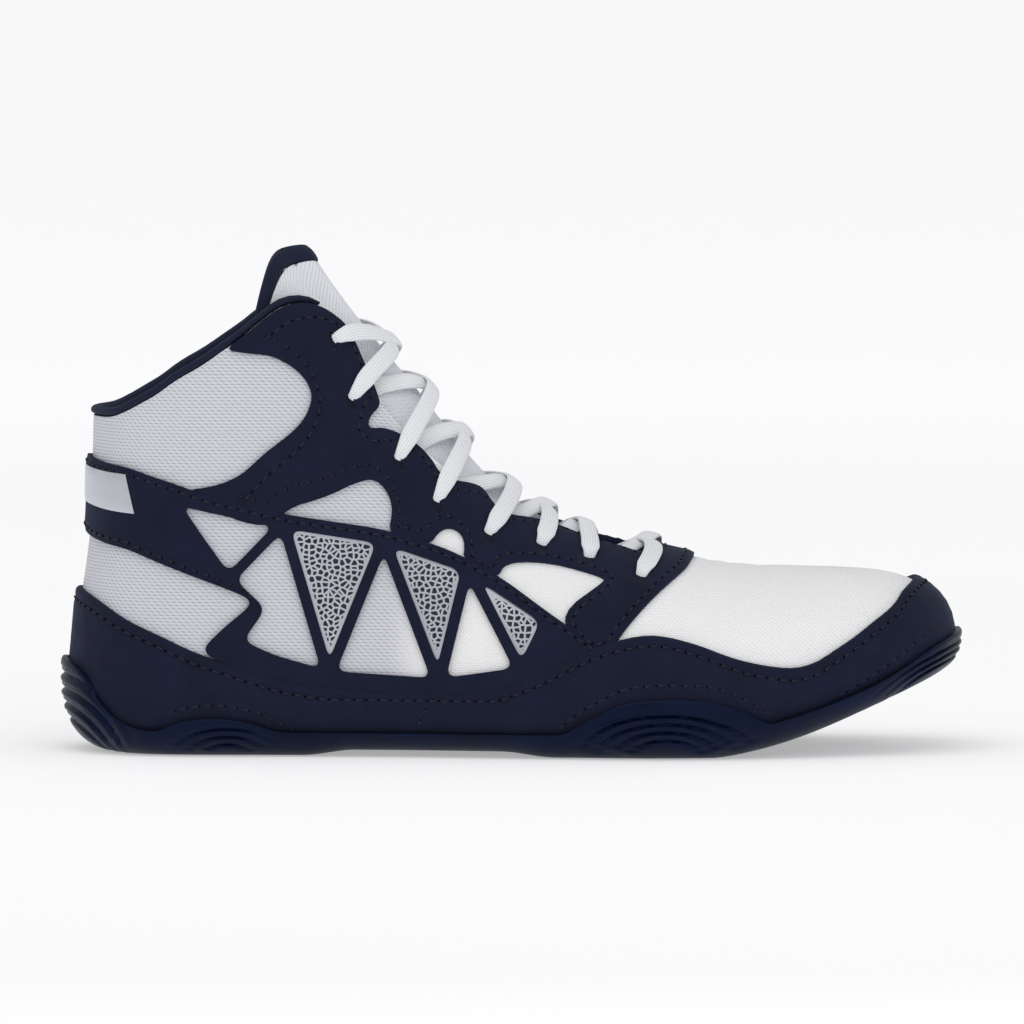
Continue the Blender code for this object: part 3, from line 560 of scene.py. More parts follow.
# A sheet cut in a chart and laid on the last between two distances out; its edges are rounded over.
def panel(name, materials, outline, holes, place, low, high, step, rounding=0.45 * mm):
    loops = [divided(loop, step) for loop in [outline] + holes]
    points, edges = [], []
    for loop in loops:
        start = len(points)
        points += loop
        edges += [(start + number, start + (number + 1) % len(loop)) for number in range(len(loop))]
    sides = edgesOf(loops)
    points += gridInside(loops, sides, step)
    flat, _, faces, *_ = geometry.delaunay_2d_cdt(points, edges, [], 0, 1e-7)
    kept = []
    for face in faces:
        centre = sum((flat[number] for number in face), Vector((0, 0))) / 3
        if inside(centre, loops[0]) and not any(inside(centre, loop) for loop in loops[1:]):
            kept.append(face)
    depth = {number: fromEdge(flat[number], sides) for number in sorted({n for face in kept for n in face})}
    mesh = bmesh.new()
    chart = mesh.loops.layers.uv.new("cloth")
    border = mesh.verts.layers.float.new("border")
    layers = []
    for top in (False, True):
        layer = {}
        for number, inward in depth.items():
            out = high if top else low
            if top and rounding:
                out -= rounding * (1 - min(inward / (1.6 * rounding), 1.0)) ** 2
            vertex = mesh.verts.new(skin(*place(flat[number]), out))
            vertex[border] = inward / mm
            layer[number] = vertex
        layers.append(layer)
    under, over = layers
    borders = {}

    def addFace(numbers, verts):
        face = mesh.faces.new(verts)
        for corner, number in zip(face.loops, numbers):
            corner[chart].uv = flat[number] / mm

    for face in kept:
        addFace(face, [over[number] for number in face])
        addFace(face[::-1], [under[number] for number in face[::-1]])
        for one, two in zip(face, face[1:] + face[:1]):
            key = (min(one, two), max(one, two))
            borders[key] = None if key in borders else (one, two)
    for pair in borders.values():
        if pair:
            one, two = pair
            addFace((two, one, one, two), (over[two], over[one], under[one], under[two]))
    return finishMesh(name, mesh, materials, sharp=50)


# Material helpers

# An sRGB hex colour as linear light
def hexColour(code):
    values = [int(code[at:at + 2], 16) / 255 for at in (1, 3, 5)]
    return (*(v / 12.92 if v <= 0.04045 else ((v + 0.055) / 1.055) ** 2.4 for v in values), 1.0)


# Adds a node with its settings. Its inputs are set or linked: a dictionary names them, a tuple gives them in
# their order. Its first output may lead on into another node's socket.
def addNode(tree, kind, inputs=(), into=None, **settings):
    node = tree.nodes.new(kind)
    for name, value in settings.items():
        setattr(node, name, value)
    for socket, value in inputs.items() if isinstance(inputs, dict) else enumerate(inputs):
        if isinstance(value, bpy.types.NodeSocket):
            tree.links.new(value, node.inputs[socket])
        else:
            node.inputs[socket].default_value = value
    if into:
        tree.links.new(node.outputs[0], into)
    return node


def startMaterial(name, **values):
    material = bpy.data.materials.new(name)
    material.use_nodes = True
    tree = material.node_tree
    shader = tree.nodes["Principled BSDF"]
    for socket, value in values.items():
        shader.inputs[socket.replace("_", " ")].default_value = value
    return material, tree, shader


# A mix node has sockets of one name for every kind of value, so its colours go by number
mixBy, mixLow, mixHigh, mixOut = 0, 6, 7, 2

# Microfibre suede: cut pile on a knit, so it is matt, with a faint bluish nap that catches the light
# and soft creases. The nap is drawn about three times as coarse as it is, so that it shows.
microsuede = {"deep": "#0e1327", "worn": "#181d36", "bloom": "#7d86a8", "blotchSize": 14.0 * mm,
              "napSize": 0.35 * mm, "napDepth": 0.10 * mm, "creaseSize": 16.0 * mm, "creaseDepth": 1.2 * mm}


def navyMicrosuede():
    material, tree, shader = startMaterial("navyMicrosuede", Roughness=0.92, Sheen_Weight=0.18,
                                           Sheen_Roughness=0.45, Sheen_Tint=hexColour(microsuede["bloom"]),
                                           Specular_IOR_Level=0.25)
    place = addNode(tree, "ShaderNodeTexCoord").outputs["Object"]
    blotch = addNode(tree, "ShaderNodeTexNoise", {"Vector": place, "Scale": 1 / microsuede["blotchSize"],
                                                  "Detail": 5.0, "Roughness": 0.65}).outputs[0]
    nap = addNode(tree, "ShaderNodeTexNoise", {"Vector": place, "Scale": 1 / microsuede["napSize"],
                                               "Detail": 2.0}).outputs[0]
    creases = addNode(tree, "ShaderNodeTexNoise", {"Vector": place, "Scale": 1 / microsuede["creaseSize"],
                                                   "Detail": 2.0, "Roughness": 0.4, "Distortion": 0.6})
    both = addNode(tree, "ShaderNodeMath", (blotch, nap), operation="ADD").outputs[0]
    tone = addNode(tree, "ShaderNodeMapRange", (both, 0.75, 1.3)).outputs[0]
    colour = addNode(tree, "ShaderNodeMix", {mixBy: tone, mixLow: hexColour(microsuede["deep"]),
                                             mixHigh: hexColour(microsuede["worn"])}, data_type="RGBA")
    tree.links.new(colour.outputs[mixOut], shader.inputs["Base Color"])
    soft = addNode(tree, "ShaderNodeBump", {"Height": creases.outputs[0], "Strength": 0.5,
                                            "Distance": microsuede["creaseDepth"]}).outputs[0]
    addNode(tree, "ShaderNodeBump", {"Height": nap, "Distance": microsuede["napDepth"], "Strength": 0.6,
                                     "Normal": soft}, shader.inputs["Normal"])
    return material


# Moulded rubber: satin and slightly blue, with the fine grain of a blasted mould, duller in worn patches
rubber = {"colour": "#050b1c", "raised": "#0a1530", "sheen": "#8397cb", "patch": 22 * mm,
          "grain": 0.5 * mm, "grainDepth": 0.05 * mm}


def navyRubber():
    material, tree, shader = startMaterial("navyRubber", Specular_IOR_Level=0.32,
                                           Specular_Tint=hexColour(rubber["sheen"]))
    place = addNode(tree, "ShaderNodeTexCoord").outputs["Object"]
    grain = addNode(tree, "ShaderNodeTexNoise", {"Vector": place, "Scale": 1 / rubber["grain"],
                                                 "Detail": 3.0}).outputs[0]
    wear = addNode(tree, "ShaderNodeTexNoise", {"Vector": place, "Scale": 1 / rubber["patch"], "Detail": 6.0,
                                                "Roughness": 0.7}).outputs[0]
    tone = addNode(tree, "ShaderNodeMapRange", (wear, 0.35, 0.7)).outputs[0]
    colour = addNode(tree, "ShaderNodeMix", {mixBy: tone, mixLow: hexColour(rubber["colour"]),
                                             mixHigh: hexColour(rubber["raised"])}, data_type="RGBA")
    tree.links.new(colour.outputs[mixOut], shader.inputs["Base Color"])
    addNode(tree, "ShaderNodeMapRange", (wear, 0.3, 0.7, 0.34, 0.50), shader.inputs["Roughness"])
    addNode(tree, "ShaderNodeBump", {"Height": grain, "Distance": rubber["grainDepth"], "Strength": 0.5},
            shader.inputs["Normal"])
    return material


# Rows of short raised threads, each row shifted by half: their height, from a chart in millimetres
def threadRows(tree, chart, pitchAlong, pitchUp):
    split = addNode(tree, "ShaderNodeSeparateXYZ", (chart,)).outputs
    row = addNode(tree, "ShaderNodeMath", (split["Y"], pitchUp), operation="DIVIDE").outputs[0]
    whole = addNode(tree, "ShaderNodeMath", (row,), operation="FLOOR").outputs[0]
    part = addNode(tree, "ShaderNodeMath", (row, whole), operation="SUBTRACT").outputs[0]
    across = addNode(tree, "ShaderNodeMath", (split["X"], 1 / pitchAlong), operation="MULTIPLY").outputs[0]
    shifted = addNode(tree, "ShaderNodeMath", (whole, 0.5, across), operation="MULTIPLY_ADD").outputs[0]
    leaning = addNode(tree, "ShaderNodeMath", (part, 0.25, shifted), operation="MULTIPLY_ADD").outputs[0]
    angle = addNode(tree, "ShaderNodeMath", (leaning, 2 * math.pi), operation="MULTIPLY").outputs[0]
    wave = addNode(tree, "ShaderNodeMath", (angle,), operation="SINE").outputs[0]
    lift = addNode(tree, "ShaderNodeMath", (wave, 0.5, 0.5), operation="MULTIPLY_ADD").outputs[0]
    rise = addNode(tree, "ShaderNodeMath", (part, math.pi), operation="MULTIPLY").outputs[0]
    hump = addNode(tree, "ShaderNodeMath", (rise,), operation="SINE").outputs[0]
    gap = addNode(tree, "ShaderNodeMath", (1.0, hump), operation="SUBTRACT").outputs[0]
    hollow = addNode(tree, "ShaderNodeMath", (gap, lift), operation="MULTIPLY").outputs[0]
    return addNode(tree, "ShaderNodeMath", (1.0, hollow), operation="SUBTRACT").outputs[0]


# Spacer mesh: white polyester, open and soft. Coarse rows of threads stand at heel and ankle, where it is
# greyer, and a finer knit over the toes. A finish has its thread, its hollows and its pitches in millimetres.
# A finish's hollow colour is darker than its thread: painted shade in the recesses of the weave
spacer = {"toe": ("#ffffff", "#e2e4ea", (1.3, 0.75)), "heel": ("#dcdce3", "#a3a5b0", (2.1, 1.05)),
          "tongue": ("#f0f2f6", "#bcc0c9", (1.5, 0.8)), "depth": 0.28 * mm, "fuzz": 0.25 * mm}


# The attribute toeward, where a piece has it, is 0 at the heel and 1 at the toe
def whiteMesh(name, finish, backFinish=None):
    material, tree, shader = startMaterial(name, Roughness=0.85, Sheen_Weight=0.12, Sheen_Roughness=0.5,
                                           Specular_IOR_Level=0.25)
    chart = addNode(tree, "ShaderNodeUVMap", uv_map="cloth").outputs["UV"]
    place = addNode(tree, "ShaderNodeTexCoord").outputs["Object"]
    weave = threadRows(tree, chart, *finish[2])
    if backFinish:
        coarse = threadRows(tree, chart, *backFinish[2])
        where = addNode(tree, "ShaderNodeAttribute", attribute_name="toeward").outputs["Fac"]
        fine = addNode(tree, "ShaderNodeMapRange", (weave, 0.0, 1.0, 0.30, 1.0)).outputs[0]
        weave = addNode(tree, "ShaderNodeMix", {0: where, 2: coarse, 3: fine}, data_type="FLOAT").outputs[0]
    fuzz = addNode(tree, "ShaderNodeTexNoise", {"Vector": place, "Scale": 1 / spacer["fuzz"],
                                                "Detail": 2.0}).outputs[0]
    height = addNode(tree, "ShaderNodeMath", (fuzz, 0.35, weave), operation="MULTIPLY_ADD").outputs[0]
    # The low parts of the weave take the darker hollow colour: painted shade
    tone = addNode(tree, "ShaderNodeMapRange", (height, 0.35, 1.05)).outputs[0]
    colour = addNode(tree, "ShaderNodeMix", {mixBy: tone, mixLow: hexColour(finish[1]),
                                             mixHigh: hexColour(finish[0])}, data_type="RGBA")
    if backFinish:
        greyer = addNode(tree, "ShaderNodeMix", {mixBy: tone, mixLow: hexColour(backFinish[1]),
                                                 mixHigh: hexColour(backFinish[0])}, data_type="RGBA")
        colour = addNode(tree, "ShaderNodeMix", {mixBy: where, mixLow: greyer.outputs[mixOut],
                                                 mixHigh: colour.outputs[mixOut]}, data_type="RGBA")
    tree.links.new(colour.outputs[mixOut], shader.inputs["Base Color"])
    addNode(tree, "ShaderNodeBump", {"Height": height, "Distance": spacer["depth"], "Strength": 0.7},
            shader.inputs["Normal"])
    return material


# Silver film: a metallised foil welded on cloth, etched away in pebbles that leave a bright net with a plain
# margin. The attribute border is the distance from the cut edge in millimetres, as pebble and margin are.
film = {"foil": "#c9ccd3", "bed": "#1d2133", "pebble": 1.75, "line": (0.136, 0.1955), "margin": (1.7, 1.85),
        "brushed": 0.6 * mm, "relief": 0.08 * mm, "metallic": (0.85, 0.1), "roughness": (0.34, 0.75)}


def silverFilm(name, pebbled):
    material, tree, shader = startMaterial(name, Base_Color=hexColour(film["foil"]),
                                           Metallic=film["metallic"][0], Roughness=film["roughness"][0])
    place = addNode(tree, "ShaderNodeTexCoord").outputs["Object"]
    height = addNode(tree, "ShaderNodeTexNoise", {"Vector": place, "Scale": 1 / film["brushed"],
                                                  "Detail": 2.0}).outputs[0]
    if pebbled:
        chart = addNode(tree, "ShaderNodeUVMap", uv_map="cloth").outputs["UV"]
        cells = addNode(tree, "ShaderNodeTexVoronoi",
                        {"Vector": chart, "Scale": 1 / film["pebble"], "Randomness": 0.8},
                        feature="DISTANCE_TO_EDGE", voronoi_dimensions="2D").outputs["Distance"]
        pebble = addNode(tree, "ShaderNodeMapRange", (cells, *film["line"])).outputs[0]
        border = addNode(tree, "ShaderNodeAttribute", attribute_name="border").outputs["Fac"]
        field = addNode(tree, "ShaderNodeMapRange", (border, *film["margin"])).outputs[0]
        dark = addNode(tree, "ShaderNodeMath", (pebble, field), operation="MULTIPLY").outputs[0]
        colour = addNode(tree, "ShaderNodeMix", {mixBy: dark, mixLow: hexColour(film["foil"]),
                                                 mixHigh: hexColour(film["bed"])}, data_type="RGBA")
        tree.links.new(colour.outputs[mixOut], shader.inputs["Base Color"])
        for socket, ends in (("Metallic", film["metallic"]), ("Roughness", film["roughness"])):
            addNode(tree, "ShaderNodeMapRange", (dark, 0.0, 1.0, *ends), shader.inputs[socket])
        sunk = addNode(tree, "ShaderNodeMath", (height, 0.25, dark), operation="MULTIPLY_ADD").outputs[0]
        height = addNode(tree, "ShaderNodeMath", (1.0, sunk), operation="SUBTRACT").outputs[0]
    addNode(tree, "ShaderNodeBump", {"Height": height, "Distance": film["relief"], "Strength": 0.5},
            shader.inputs["Normal"])
    return material


# Knits and weaves of yarn: ribbed knit tape, the darker mesh of the lining, and the flat lace, a tubular
# weave pressed flat, smoother and brighter. Pitches are in millimetres.
# The valleys between the yarns get a darker colour: painted shade
softKnit = {"Roughness": 0.9, "Sheen_Weight": 0.2, "Sheen_Roughness": 0.5, "Sheen_Tint": hexColour("#6f7a9c"),
            "Specular_IOR_Level": 0.25}
smoothBraid = {"Roughness": 0.75, "Sheen_Weight": 0.15, "Sheen_Roughness": 0.4, "Specular_IOR_Level": 0.3}
weaves = {
    "navyKnitTape": {"yarn": "#1a2138", "paintedValleyShade": "#0d1120", "pitch": (0.9, 0.62), "depth": 0.2 * mm,
                     "strength": 0.8, "finish": softKnit},
    "navyMeshLining": {"yarn": "#161b2d", "paintedValleyShade": "#0a0d18", "pitch": (0.9, 0.62), "depth": 0.2 * mm,
                       "strength": 0.8, "finish": softKnit},
    "whiteWovenLace": {"yarn": "#f4f5f7", "paintedValleyShade": "#c9ccd4", "pitch": (0.8, 0.9), "depth": 0.12 * mm,
                       "strength": 0.5, "finish": smoothBraid},
}


def wovenYarn(name):
    cloth = weaves[name]
    material, tree, shader = startMaterial(name, **cloth["finish"])
    chart = addNode(tree, "ShaderNodeUVMap", uv_map="cloth").outputs["UV"]
    weave = threadRows(tree, chart, *cloth["pitch"])
    # The low parts of the weave take the darker colour: painted shade
    colour = addNode(tree, "ShaderNodeMix", {mixBy: weave, mixLow: hexColour(cloth["paintedValleyShade"]),
                                             mixHigh: hexColour(cloth["yarn"])}, data_type="RGBA")
    tree.links.new(colour.outputs[mixOut], shader.inputs["Base Color"])
    addNode(tree, "ShaderNodeBump", {"Height": weave, "Distance": cloth["depth"],
                                     "Strength": cloth["strength"]}, shader.inputs["Normal"])
    return material


# Polyester sewing thread: two plies twisted and waxed, so it glints a little. The needle holes between the
# stitches are flat beads of painted shadow in a matt near-black, so they don't.
threads = {
    "navySewingThread": {"dark": "#090c17", "light": "#171c30", "rough": 0.6, "shine": 0.35},
    "paintedHoleShadow": {"dark": "#080a12", "light": "#0e111d", "rough": 1.0, "shine": 0.0},
}
twist = 0.4 * mm


def sewnYarn(name):
    yarn = threads[name]
    material, tree, shader = startMaterial(name, Roughness=yarn["rough"], Specular_IOR_Level=yarn["shine"])
    place = addNode(tree, "ShaderNodeTexCoord").outputs["Object"]
    fluff = addNode(tree, "ShaderNodeTexNoise", {"Vector": place, "Scale": 1 / twist, "Detail": 1.0})
    colour = addNode(tree, "ShaderNodeMix", {mixBy: fluff.outputs[0], mixLow: hexColour(yarn["dark"]),
                                             mixHigh: hexColour(yarn["light"])}, data_type="RGBA")
    tree.links.new(colour.outputs[mixOut], shader.inputs["Base Color"])
    return material


# Foam footbed under a brushed knit: dull, grey and slightly quilted, with painted shade darkening the colour
# between its loops
footbed = {"yarn": "#2b3040", "paintedValleyShade": "#171b28", "loop": 1.6 * mm, "depth": 0.15 * mm}


def greyFootbed():
    material, tree, shader = startMaterial("greyKnitFootbed", Roughness=0.9, Sheen_Weight=0.1,
                                           Specular_IOR_Level=0.2)
    place = addNode(tree, "ShaderNodeTexCoord").outputs["Object"]
    weave = addNode(tree, "ShaderNodeTexVoronoi", {"Vector": place, "Scale": 1 / footbed["loop"]}).outputs[0]
    # Towards the cells' edges the colour turns to the darker one: painted shade between the loops
    colour = addNode(tree, "ShaderNodeMix", {mixBy: weave, mixLow: hexColour(footbed["yarn"]),
                                             mixHigh: hexColour(footbed["paintedValleyShade"])}, data_type="RGBA")
    tree.links.new(colour.outputs[mixOut], shader.inputs["Base Color"])
    addNode(tree, "ShaderNodeBump", {"Height": weave, "Distance": footbed["depth"], "Strength": 0.6},
            shader.inputs["Normal"])
    return material


suedeCloth = navyMicrosuede()
rubberMould = navyRubber()
meshCloth = whiteMesh("whiteSpacerMesh", spacer["toe"], spacer["heel"])
tongueCloth = whiteMesh("greyTongueMesh", spacer["tongue"])
filmPebbled = silverFilm("silverFilm", True)
filmPlain = silverFilm("silverFilmPlain", False)
knitTape = wovenYarn("navyKnitTape")
liningCloth = wovenYarn("navyMeshLining")
laceCloth = wovenYarn("whiteWovenLace")
thread = sewnYarn("navySewingThread")
paintedHoleShadow = sewnYarn("paintedHoleShadow")
footbedCloth = greyFootbed()
print("materials made")


# A finished piece rides on the shoe and may stand for solids, which are hidden
def dress(piece, slotName, *nodes):
    if nodes:
        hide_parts(*nodes)
    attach(piece, "root")
    return piece


# The upper's cloth, with its lining on the inner face. A crease has its share of length, its half width and
# its slant as shares too, and its depth. The weave changes from heel to toe between two shares.
shell = {"steps": 8, "wrapRows": 6, "wallRows": 26, "trim": 2.2 * mm, "trimFrom": 0.29, "trimEase": 0.02,
         "creases": ((0.722, 0.007, 0.05, 0.55 * mm), (0.748, 0.006, 0.03, 0.40 * mm),
                     (0.776, 0.008, -0.02, 0.35 * mm)), "toeward": (0.36, 0.41)}


# How deep the flex creases over the toes are at a place
def creaseDepth(share, turn):
    return sum(depth * math.exp(-((share + slant * (1 - turn) - middle) / width) ** 2)
               for middle, width, slant, depth in shell["creases"]) * smooth((turn - 0.25) / 0.5)


# The shell ends a little under the facings beside the throat
def shellTop(side, station):
    share, top = catmull(curves["x"], station), edgeTurn(station)
    if not shell["trimFrom"] < share < throatEnd:
        return top
    ease = shell["trimEase"]
    trim = shell["trim"] * smooth((share - shell["trimFrom"]) / ease) * smooth((throatEnd - share) / ease)
    return top - trim / turnRate(side, station, top)


def upperShell():
    ribs = roundTheShoe(stationsOf(shell["steps"]))
    count = shell["wrapRows"] + shell["wallRows"]
    loops = []
    for side, station in ribs:
        top = shellTop(side, station)
        turns = [row / shell["wrapRows"] - 1 for row in range(shell["wrapRows"])]
        turns += [top * row / shell["wallRows"] for row in range(shell["wallRows"] + 1)]
        share = catmull(curves["x"], station)
        loops.append([skin(side, station, turn, -creaseDepth(share, turn)) for turn in turns]
                     + [skin(side, station, turn, -wall) for turn in reversed(turns)])

    def closed(number):
        return edgeTurn(ribs[number % len(ribs)][1]) >= 1

    piece = loft("upperShell", [meshCloth, liningCloth], loops, centre=shell["wrapRows"],
                 skip=lambda number, side: side == count and closed(number) and closed(number + 1),
                 inner=lambda side: side >= count)
    toeward = piece.data.attributes.new("toeward", "FLOAT", "POINT")
    start, stop = shell["toeward"]
    toeward.data.foreach_set("value", [smooth((vertex.co.x / length + 0.5 - start) / (stop - start))
                                       for vertex in piece.data.vertices])
    return dress(piece, "mesh", "upper")


upperShell()
print("upper shell lofted")

# The mudguard: one strip of suede right round, with a rounded top edge and a sunk seam along it. Its rows lie
# at depths in millimetres under the edge, then go on evenly. A second seam runs over the sole's humps, and a
# short one closes the strip's join: both have shares of length.
mudguard = {"steps": 8, "rows": 12, "out": 2.15 * mm, "edge": 0.9 * mm, "edgeDeep": 1.2, "lowTurn": -0.7,
            "depths": (0, 0.12, 0.4, 0.8, 1.4, 2.1, 2.7, 3.2, 3.6, 4.0, 4.5, 5.2),
            "seamIn": 3.6 * mm, "seamSink": 0.3 * mm, "seamWidth": 0.9 * mm,
            "humpSeams": ((0.125, 0.262), (0.556, 0.800), (0.862, 0.978)), "overHump": 4.5 * mm,
            "join": 0.397, "joinLean": 0.018, "joinFoot": 6.65 * mm, "joinRise": 19 * mm}


def mudguardTurn(station):
    _, wideZ, ridgeZ = heights(station)
    up = curved(mudguardTop, catmull(curves["x"], station))
    return turnAtHeight(station, wideZ + (ridgeZ - wideZ) * up)


# How far the suede lies out at a depth under its top edge
def mudguardOut(depth):
    edge = mudguard["edge"] * (1 - min(depth / mudguard["edgeDeep"], 1)) ** 2
    seam = math.exp(-((depth * mm - mudguard["seamIn"]) / mudguard["seamWidth"]) ** 2)
    return mudguard["out"] - edge - mudguard["seamSink"] * seam


def mudguardStrip():
    loops, depths, lowTurn = [], mudguard["depths"], mudguard["lowTurn"]
    for side, station in roundTheShoe(stationsOf(mudguard["steps"])):
        top = mudguardTurn(station)
        rate = turnRate(side, station, top)
        turns = [top - depth * mm / rate for depth in depths]
        outer = [skin(side, station, turn, mudguardOut(depth)) for turn, depth in zip(turns, depths)]
        for row in range(mudguard["rows"]):
            turn = turns[-1] + (lowTurn - turns[-1]) * (row + 1) / mudguard["rows"]
            outer.append(skin(side, station, turn, mudguard["out"]))
        loops.append([skin(side, station, lowTurn, 0.3 * mm), skin(side, station, top, 0.12 * mm)] + outer)
    return dress(loft("mudguardStrip", [suedeCloth], loops, centre=1), "suede", "mudguard")


mudguardStrip()
print("mudguard lofted")

# The facings beside the throat, punched for the laces, with a dark disc behind each hole: partly the lining
# seen through it, partly painted shadow
facing = {"step": 2.2 * mm, "low": 0.12 * mm, "hole": 2.3 * mm, "corners": 12, "underRoll": 0.2 * mm,
          "pastRidge": 1.1, "collarShares": (0.185, 0.205, 0.225, 0.245, 0.265, 0.285, 0.300),
          "discOut": 0.75 * mm, "discOver": 0.3 * mm, "discThick": 0.3 * mm}


# The facing's outline: it ends under the collar's roll, the saddle band and the mudguard
def facingLoop(side, rounds):
    points = []
    for share in facing["collarShares"]:
        station = stationAt(share)
        turn = edgeTurn(station) - facing["underRoll"] / turnRate(side, station, edgeTurn(station))
        points.append(Vector((station * stride, turn * girth)))
    for (_, up), spot in zip(facingOutline, wallChart(facingOutline)):
        points.append(Vector((spot.x, facing["pastRidge"] * girth)) if up > 0.999 else spot)
    return [Vector((spot.x, min(spot.y, girth))) for spot in soften(points, rounds)]


def eyeletSpots():
    return [(stationAt(share), turnAtGap(stationAt(share), reach)) for share, reach in eyelets]


# The eyelets' holes in the wall's chart, stretched so that they come out round on the shoe
def punched(side):
    holes, corners = [], facing["corners"]
    for station, turn in eyeletSpots():
        rateUp = turnRate(side, station, turn) / girth
        ahead = (last(side, station + 0.02, turn) - last(side, station - 0.02, turn)).length / 0.04 / stride
        wide, tall = facing["hole"] / ahead, facing["hole"] / rateUp
        angles = [2 * math.pi * corner / corners for corner in range(corners)]
        middle = Vector((station * stride, turn * girth))
        holes.append([middle + Vector((wide * math.cos(angle), tall * math.sin(angle))) for angle in angles])
    return holes


# A dark disc of lining cloth behind a lace's hole: the lining seen through it, and the hole's painted shadow
def eyeletLiningShadow(name, side, station, turn):
    normal = (skin(side, station, turn, mm) - skin(side, station, turn, 0.5 * mm)).normalized()
    placed = normal.to_track_quat("Z", "Y").to_matrix().to_4x4()
    placed.translation = skin(side, station, turn, facing["discOut"])
    radius = facing["hole"] + facing["discOver"]
    mesh = bmesh.new()
    bmesh.ops.create_cone(mesh, cap_ends=True, segments=16, radius1=radius, radius2=radius,
                          depth=facing["discThick"], matrix=placed)
    dress(finishMesh(name, mesh, [liningCloth]), "knit")


def facings():
    for side, word in bothSides:
        piece = panel(f"facing_{word}", [suedeCloth], facingLoop(side, 2), punched(side), wallPlace(side),
                      facing["low"], seat + suede, facing["step"])
        dress(piece, "suede", f"eyestay_{word}")
        for number, (station, turn) in enumerate(eyeletSpots()):
            eyeletLiningShadow(f"eyelet_lining_shadow_{word}_{number + 1}", side, station, turn)


facings()
print("facings cut")

# The saddle band with its zigzag, and the silver film in half of its windows
saddle = {"step": 2.2 * mm, "bar": 3.2 * mm, "out": 2.05 * mm, "corner": 3.5 * mm, "bandCorner": 6 * mm,
          "meets": 7, "under": 2.5 * mm, "seamIn": 2.0 * mm,
          "filmStep": 1.5 * mm, "tuckedUnder": 0.8 * mm, "film": (0.1 * mm, 0.45 * mm)}


# A window drawn smaller by moving each of its sides in
def shrink(loop, depth):
    turn = 1 if signedArea(loop) > 0 else -1
    lines = []
    for one, two in zip(loop, loop[1:] + loop[:1]):
        square = Vector((one.y - two.y, two.x - one.x)).normalized() * turn * depth
        lines.append((one + square, two + square))
    return [geometry.intersect_line_line_2d(*[end + (end - start) * reach for start, end in (line, following)
                                              for reach in (-9, 9)])
            for line, following in zip(lines[-1:] + lines[:-1], lines)]


def windowCorners(side):
    corners, leg = heelChart(zigzag, side), heelChart(rearLeg, side)
    windows = [corners[number:number + 3] for number in range(len(corners) - 2) if number != 1]
    windows.append([corners[2], corners[3]] + leg + [corners[1]])
    return windows


# The band's lower edge, taken down under the mudguard from the corner where it meets it
def bandFoot(side):
    points, meets = heelChart(saddleLow, side), saddle["meets"]
    return points[:meets] + [point - Vector((0, saddle["under"])) for point in points[meets:]]


def saddleBand():
    outline = heelChart(saddleTop, lateral) + heelChart(saddleTop, medial)[-2::-1]
    outline += bandFoot(medial)[::-1] + bandFoot(lateral)[1:]
    windows = [roundCorners(shrink(window, saddle["bar"] / 2), saddle["corner"]) for side, _ in bothSides
               for window in windowCorners(side)]
    piece = panel("saddleBand", [suedeCloth], roundCorners(outline, saddle["bandCorner"]), windows, heelPlace,
                  seat, saddle["out"], saddle["step"])
    dress(piece, "suede", "saddle_band")
    for side, word in bothSides:
        for number, window in enumerate(windowCorners(side)):
            if number % 2:
                tile = shrink(window, saddle["bar"] / 2 - saddle["tuckedUnder"])
                piece = panel(f"film_{word}_{number}", [filmPebbled], tile, [], heelPlace, *saddle["film"],
                              saddle["filmStep"], 0)
                dress(piece, "suede")


saddleBand()
print("saddle band cut")

# The plain silver tab round the back of the heel
heelTab = {"back": (80.0 * mm, 91.5 * mm), "front": (77.0 * mm, 89.5 * mm), "shares": (0.082, 0.071),
           "thick": 0.35 * mm, "gap": 0.03 * mm, "step": 1.8 * mm, "rounding": 0.15 * mm}


def heelLabel():
    lowReach, highReach = (stationAt(share) * stride for share in heelTab["shares"])
    (backLow, backHigh), (frontLow, frontHigh) = heelTab["back"], heelTab["front"]
    outline = [Vector((-lowReach, frontLow)), Vector((0, backLow)), Vector((lowReach, frontLow)),
               Vector((highReach, frontHigh)), Vector((0, backHigh)), Vector((-highReach, frontHigh))]
    piece = panel("heelLabel", [filmPlain], outline, [], heelPlace, saddle["out"] + heelTab["gap"],
                  saddle["out"] + heelTab["thick"], heelTab["step"], heelTab["rounding"])
    return dress(piece, "suede")


heelLabel()


# A closed profile of (sideways, outwards) in millimetres, made round
def roundProfile(profile, rounds=2):
    return soften([Vector(point) for point in profile], rounds)


# The collar's rolled edge, with its lining down the inside. The profile has millimetres out and up from the
# edge; towards its two ends the roll thins out over a few steps.
collarRoll = {"profile": ((0.1, 0.5), (0.9, 1.1), (0.9, 2.3), (0.0, 3.1), (-1.6, 3.2), (-3.2, 2.5),
                          (-4.2, 0.8), (-4.2, -9.0), (-2.7, -9.0), (-2.7, 0.5)),
              "steps": 8, "endSteps": 5, "endHeight": 0.4, "foot": 0.5}


def collarBinding():
    places = [place for place in stationsOf(collarRoll["steps"]) if catmull(curves["x"], place) < collarEnd]
    path = [(lateral, place) for place in places[::-1]] + [(medial, place) for place in places[1:]]
    profile, foot = roundProfile(collarRoll["profile"]), collarRoll["foot"]
    loops = []
    for number, (side, station) in enumerate(path):
        top = edgeTurn(station)
        rate = turnRate(side, station, top)
        ended = min(min(number, len(path) - 1 - number) / collarRoll["endSteps"], 1)
        tall = collarRoll["endHeight"] + (1 - collarRoll["endHeight"]) * math.sqrt(1 - (1 - ended) ** 2)
        loops.append([skin(side, station, top + (foot + (up - foot) * tall) * mm / rate, out * mm)
                      for out, up in profile])
    return dress(loft("collarBinding", [knitTape], loops, ring=False, centre=3), "knit", "collar_binding")


collarBinding()
print("collar bound")

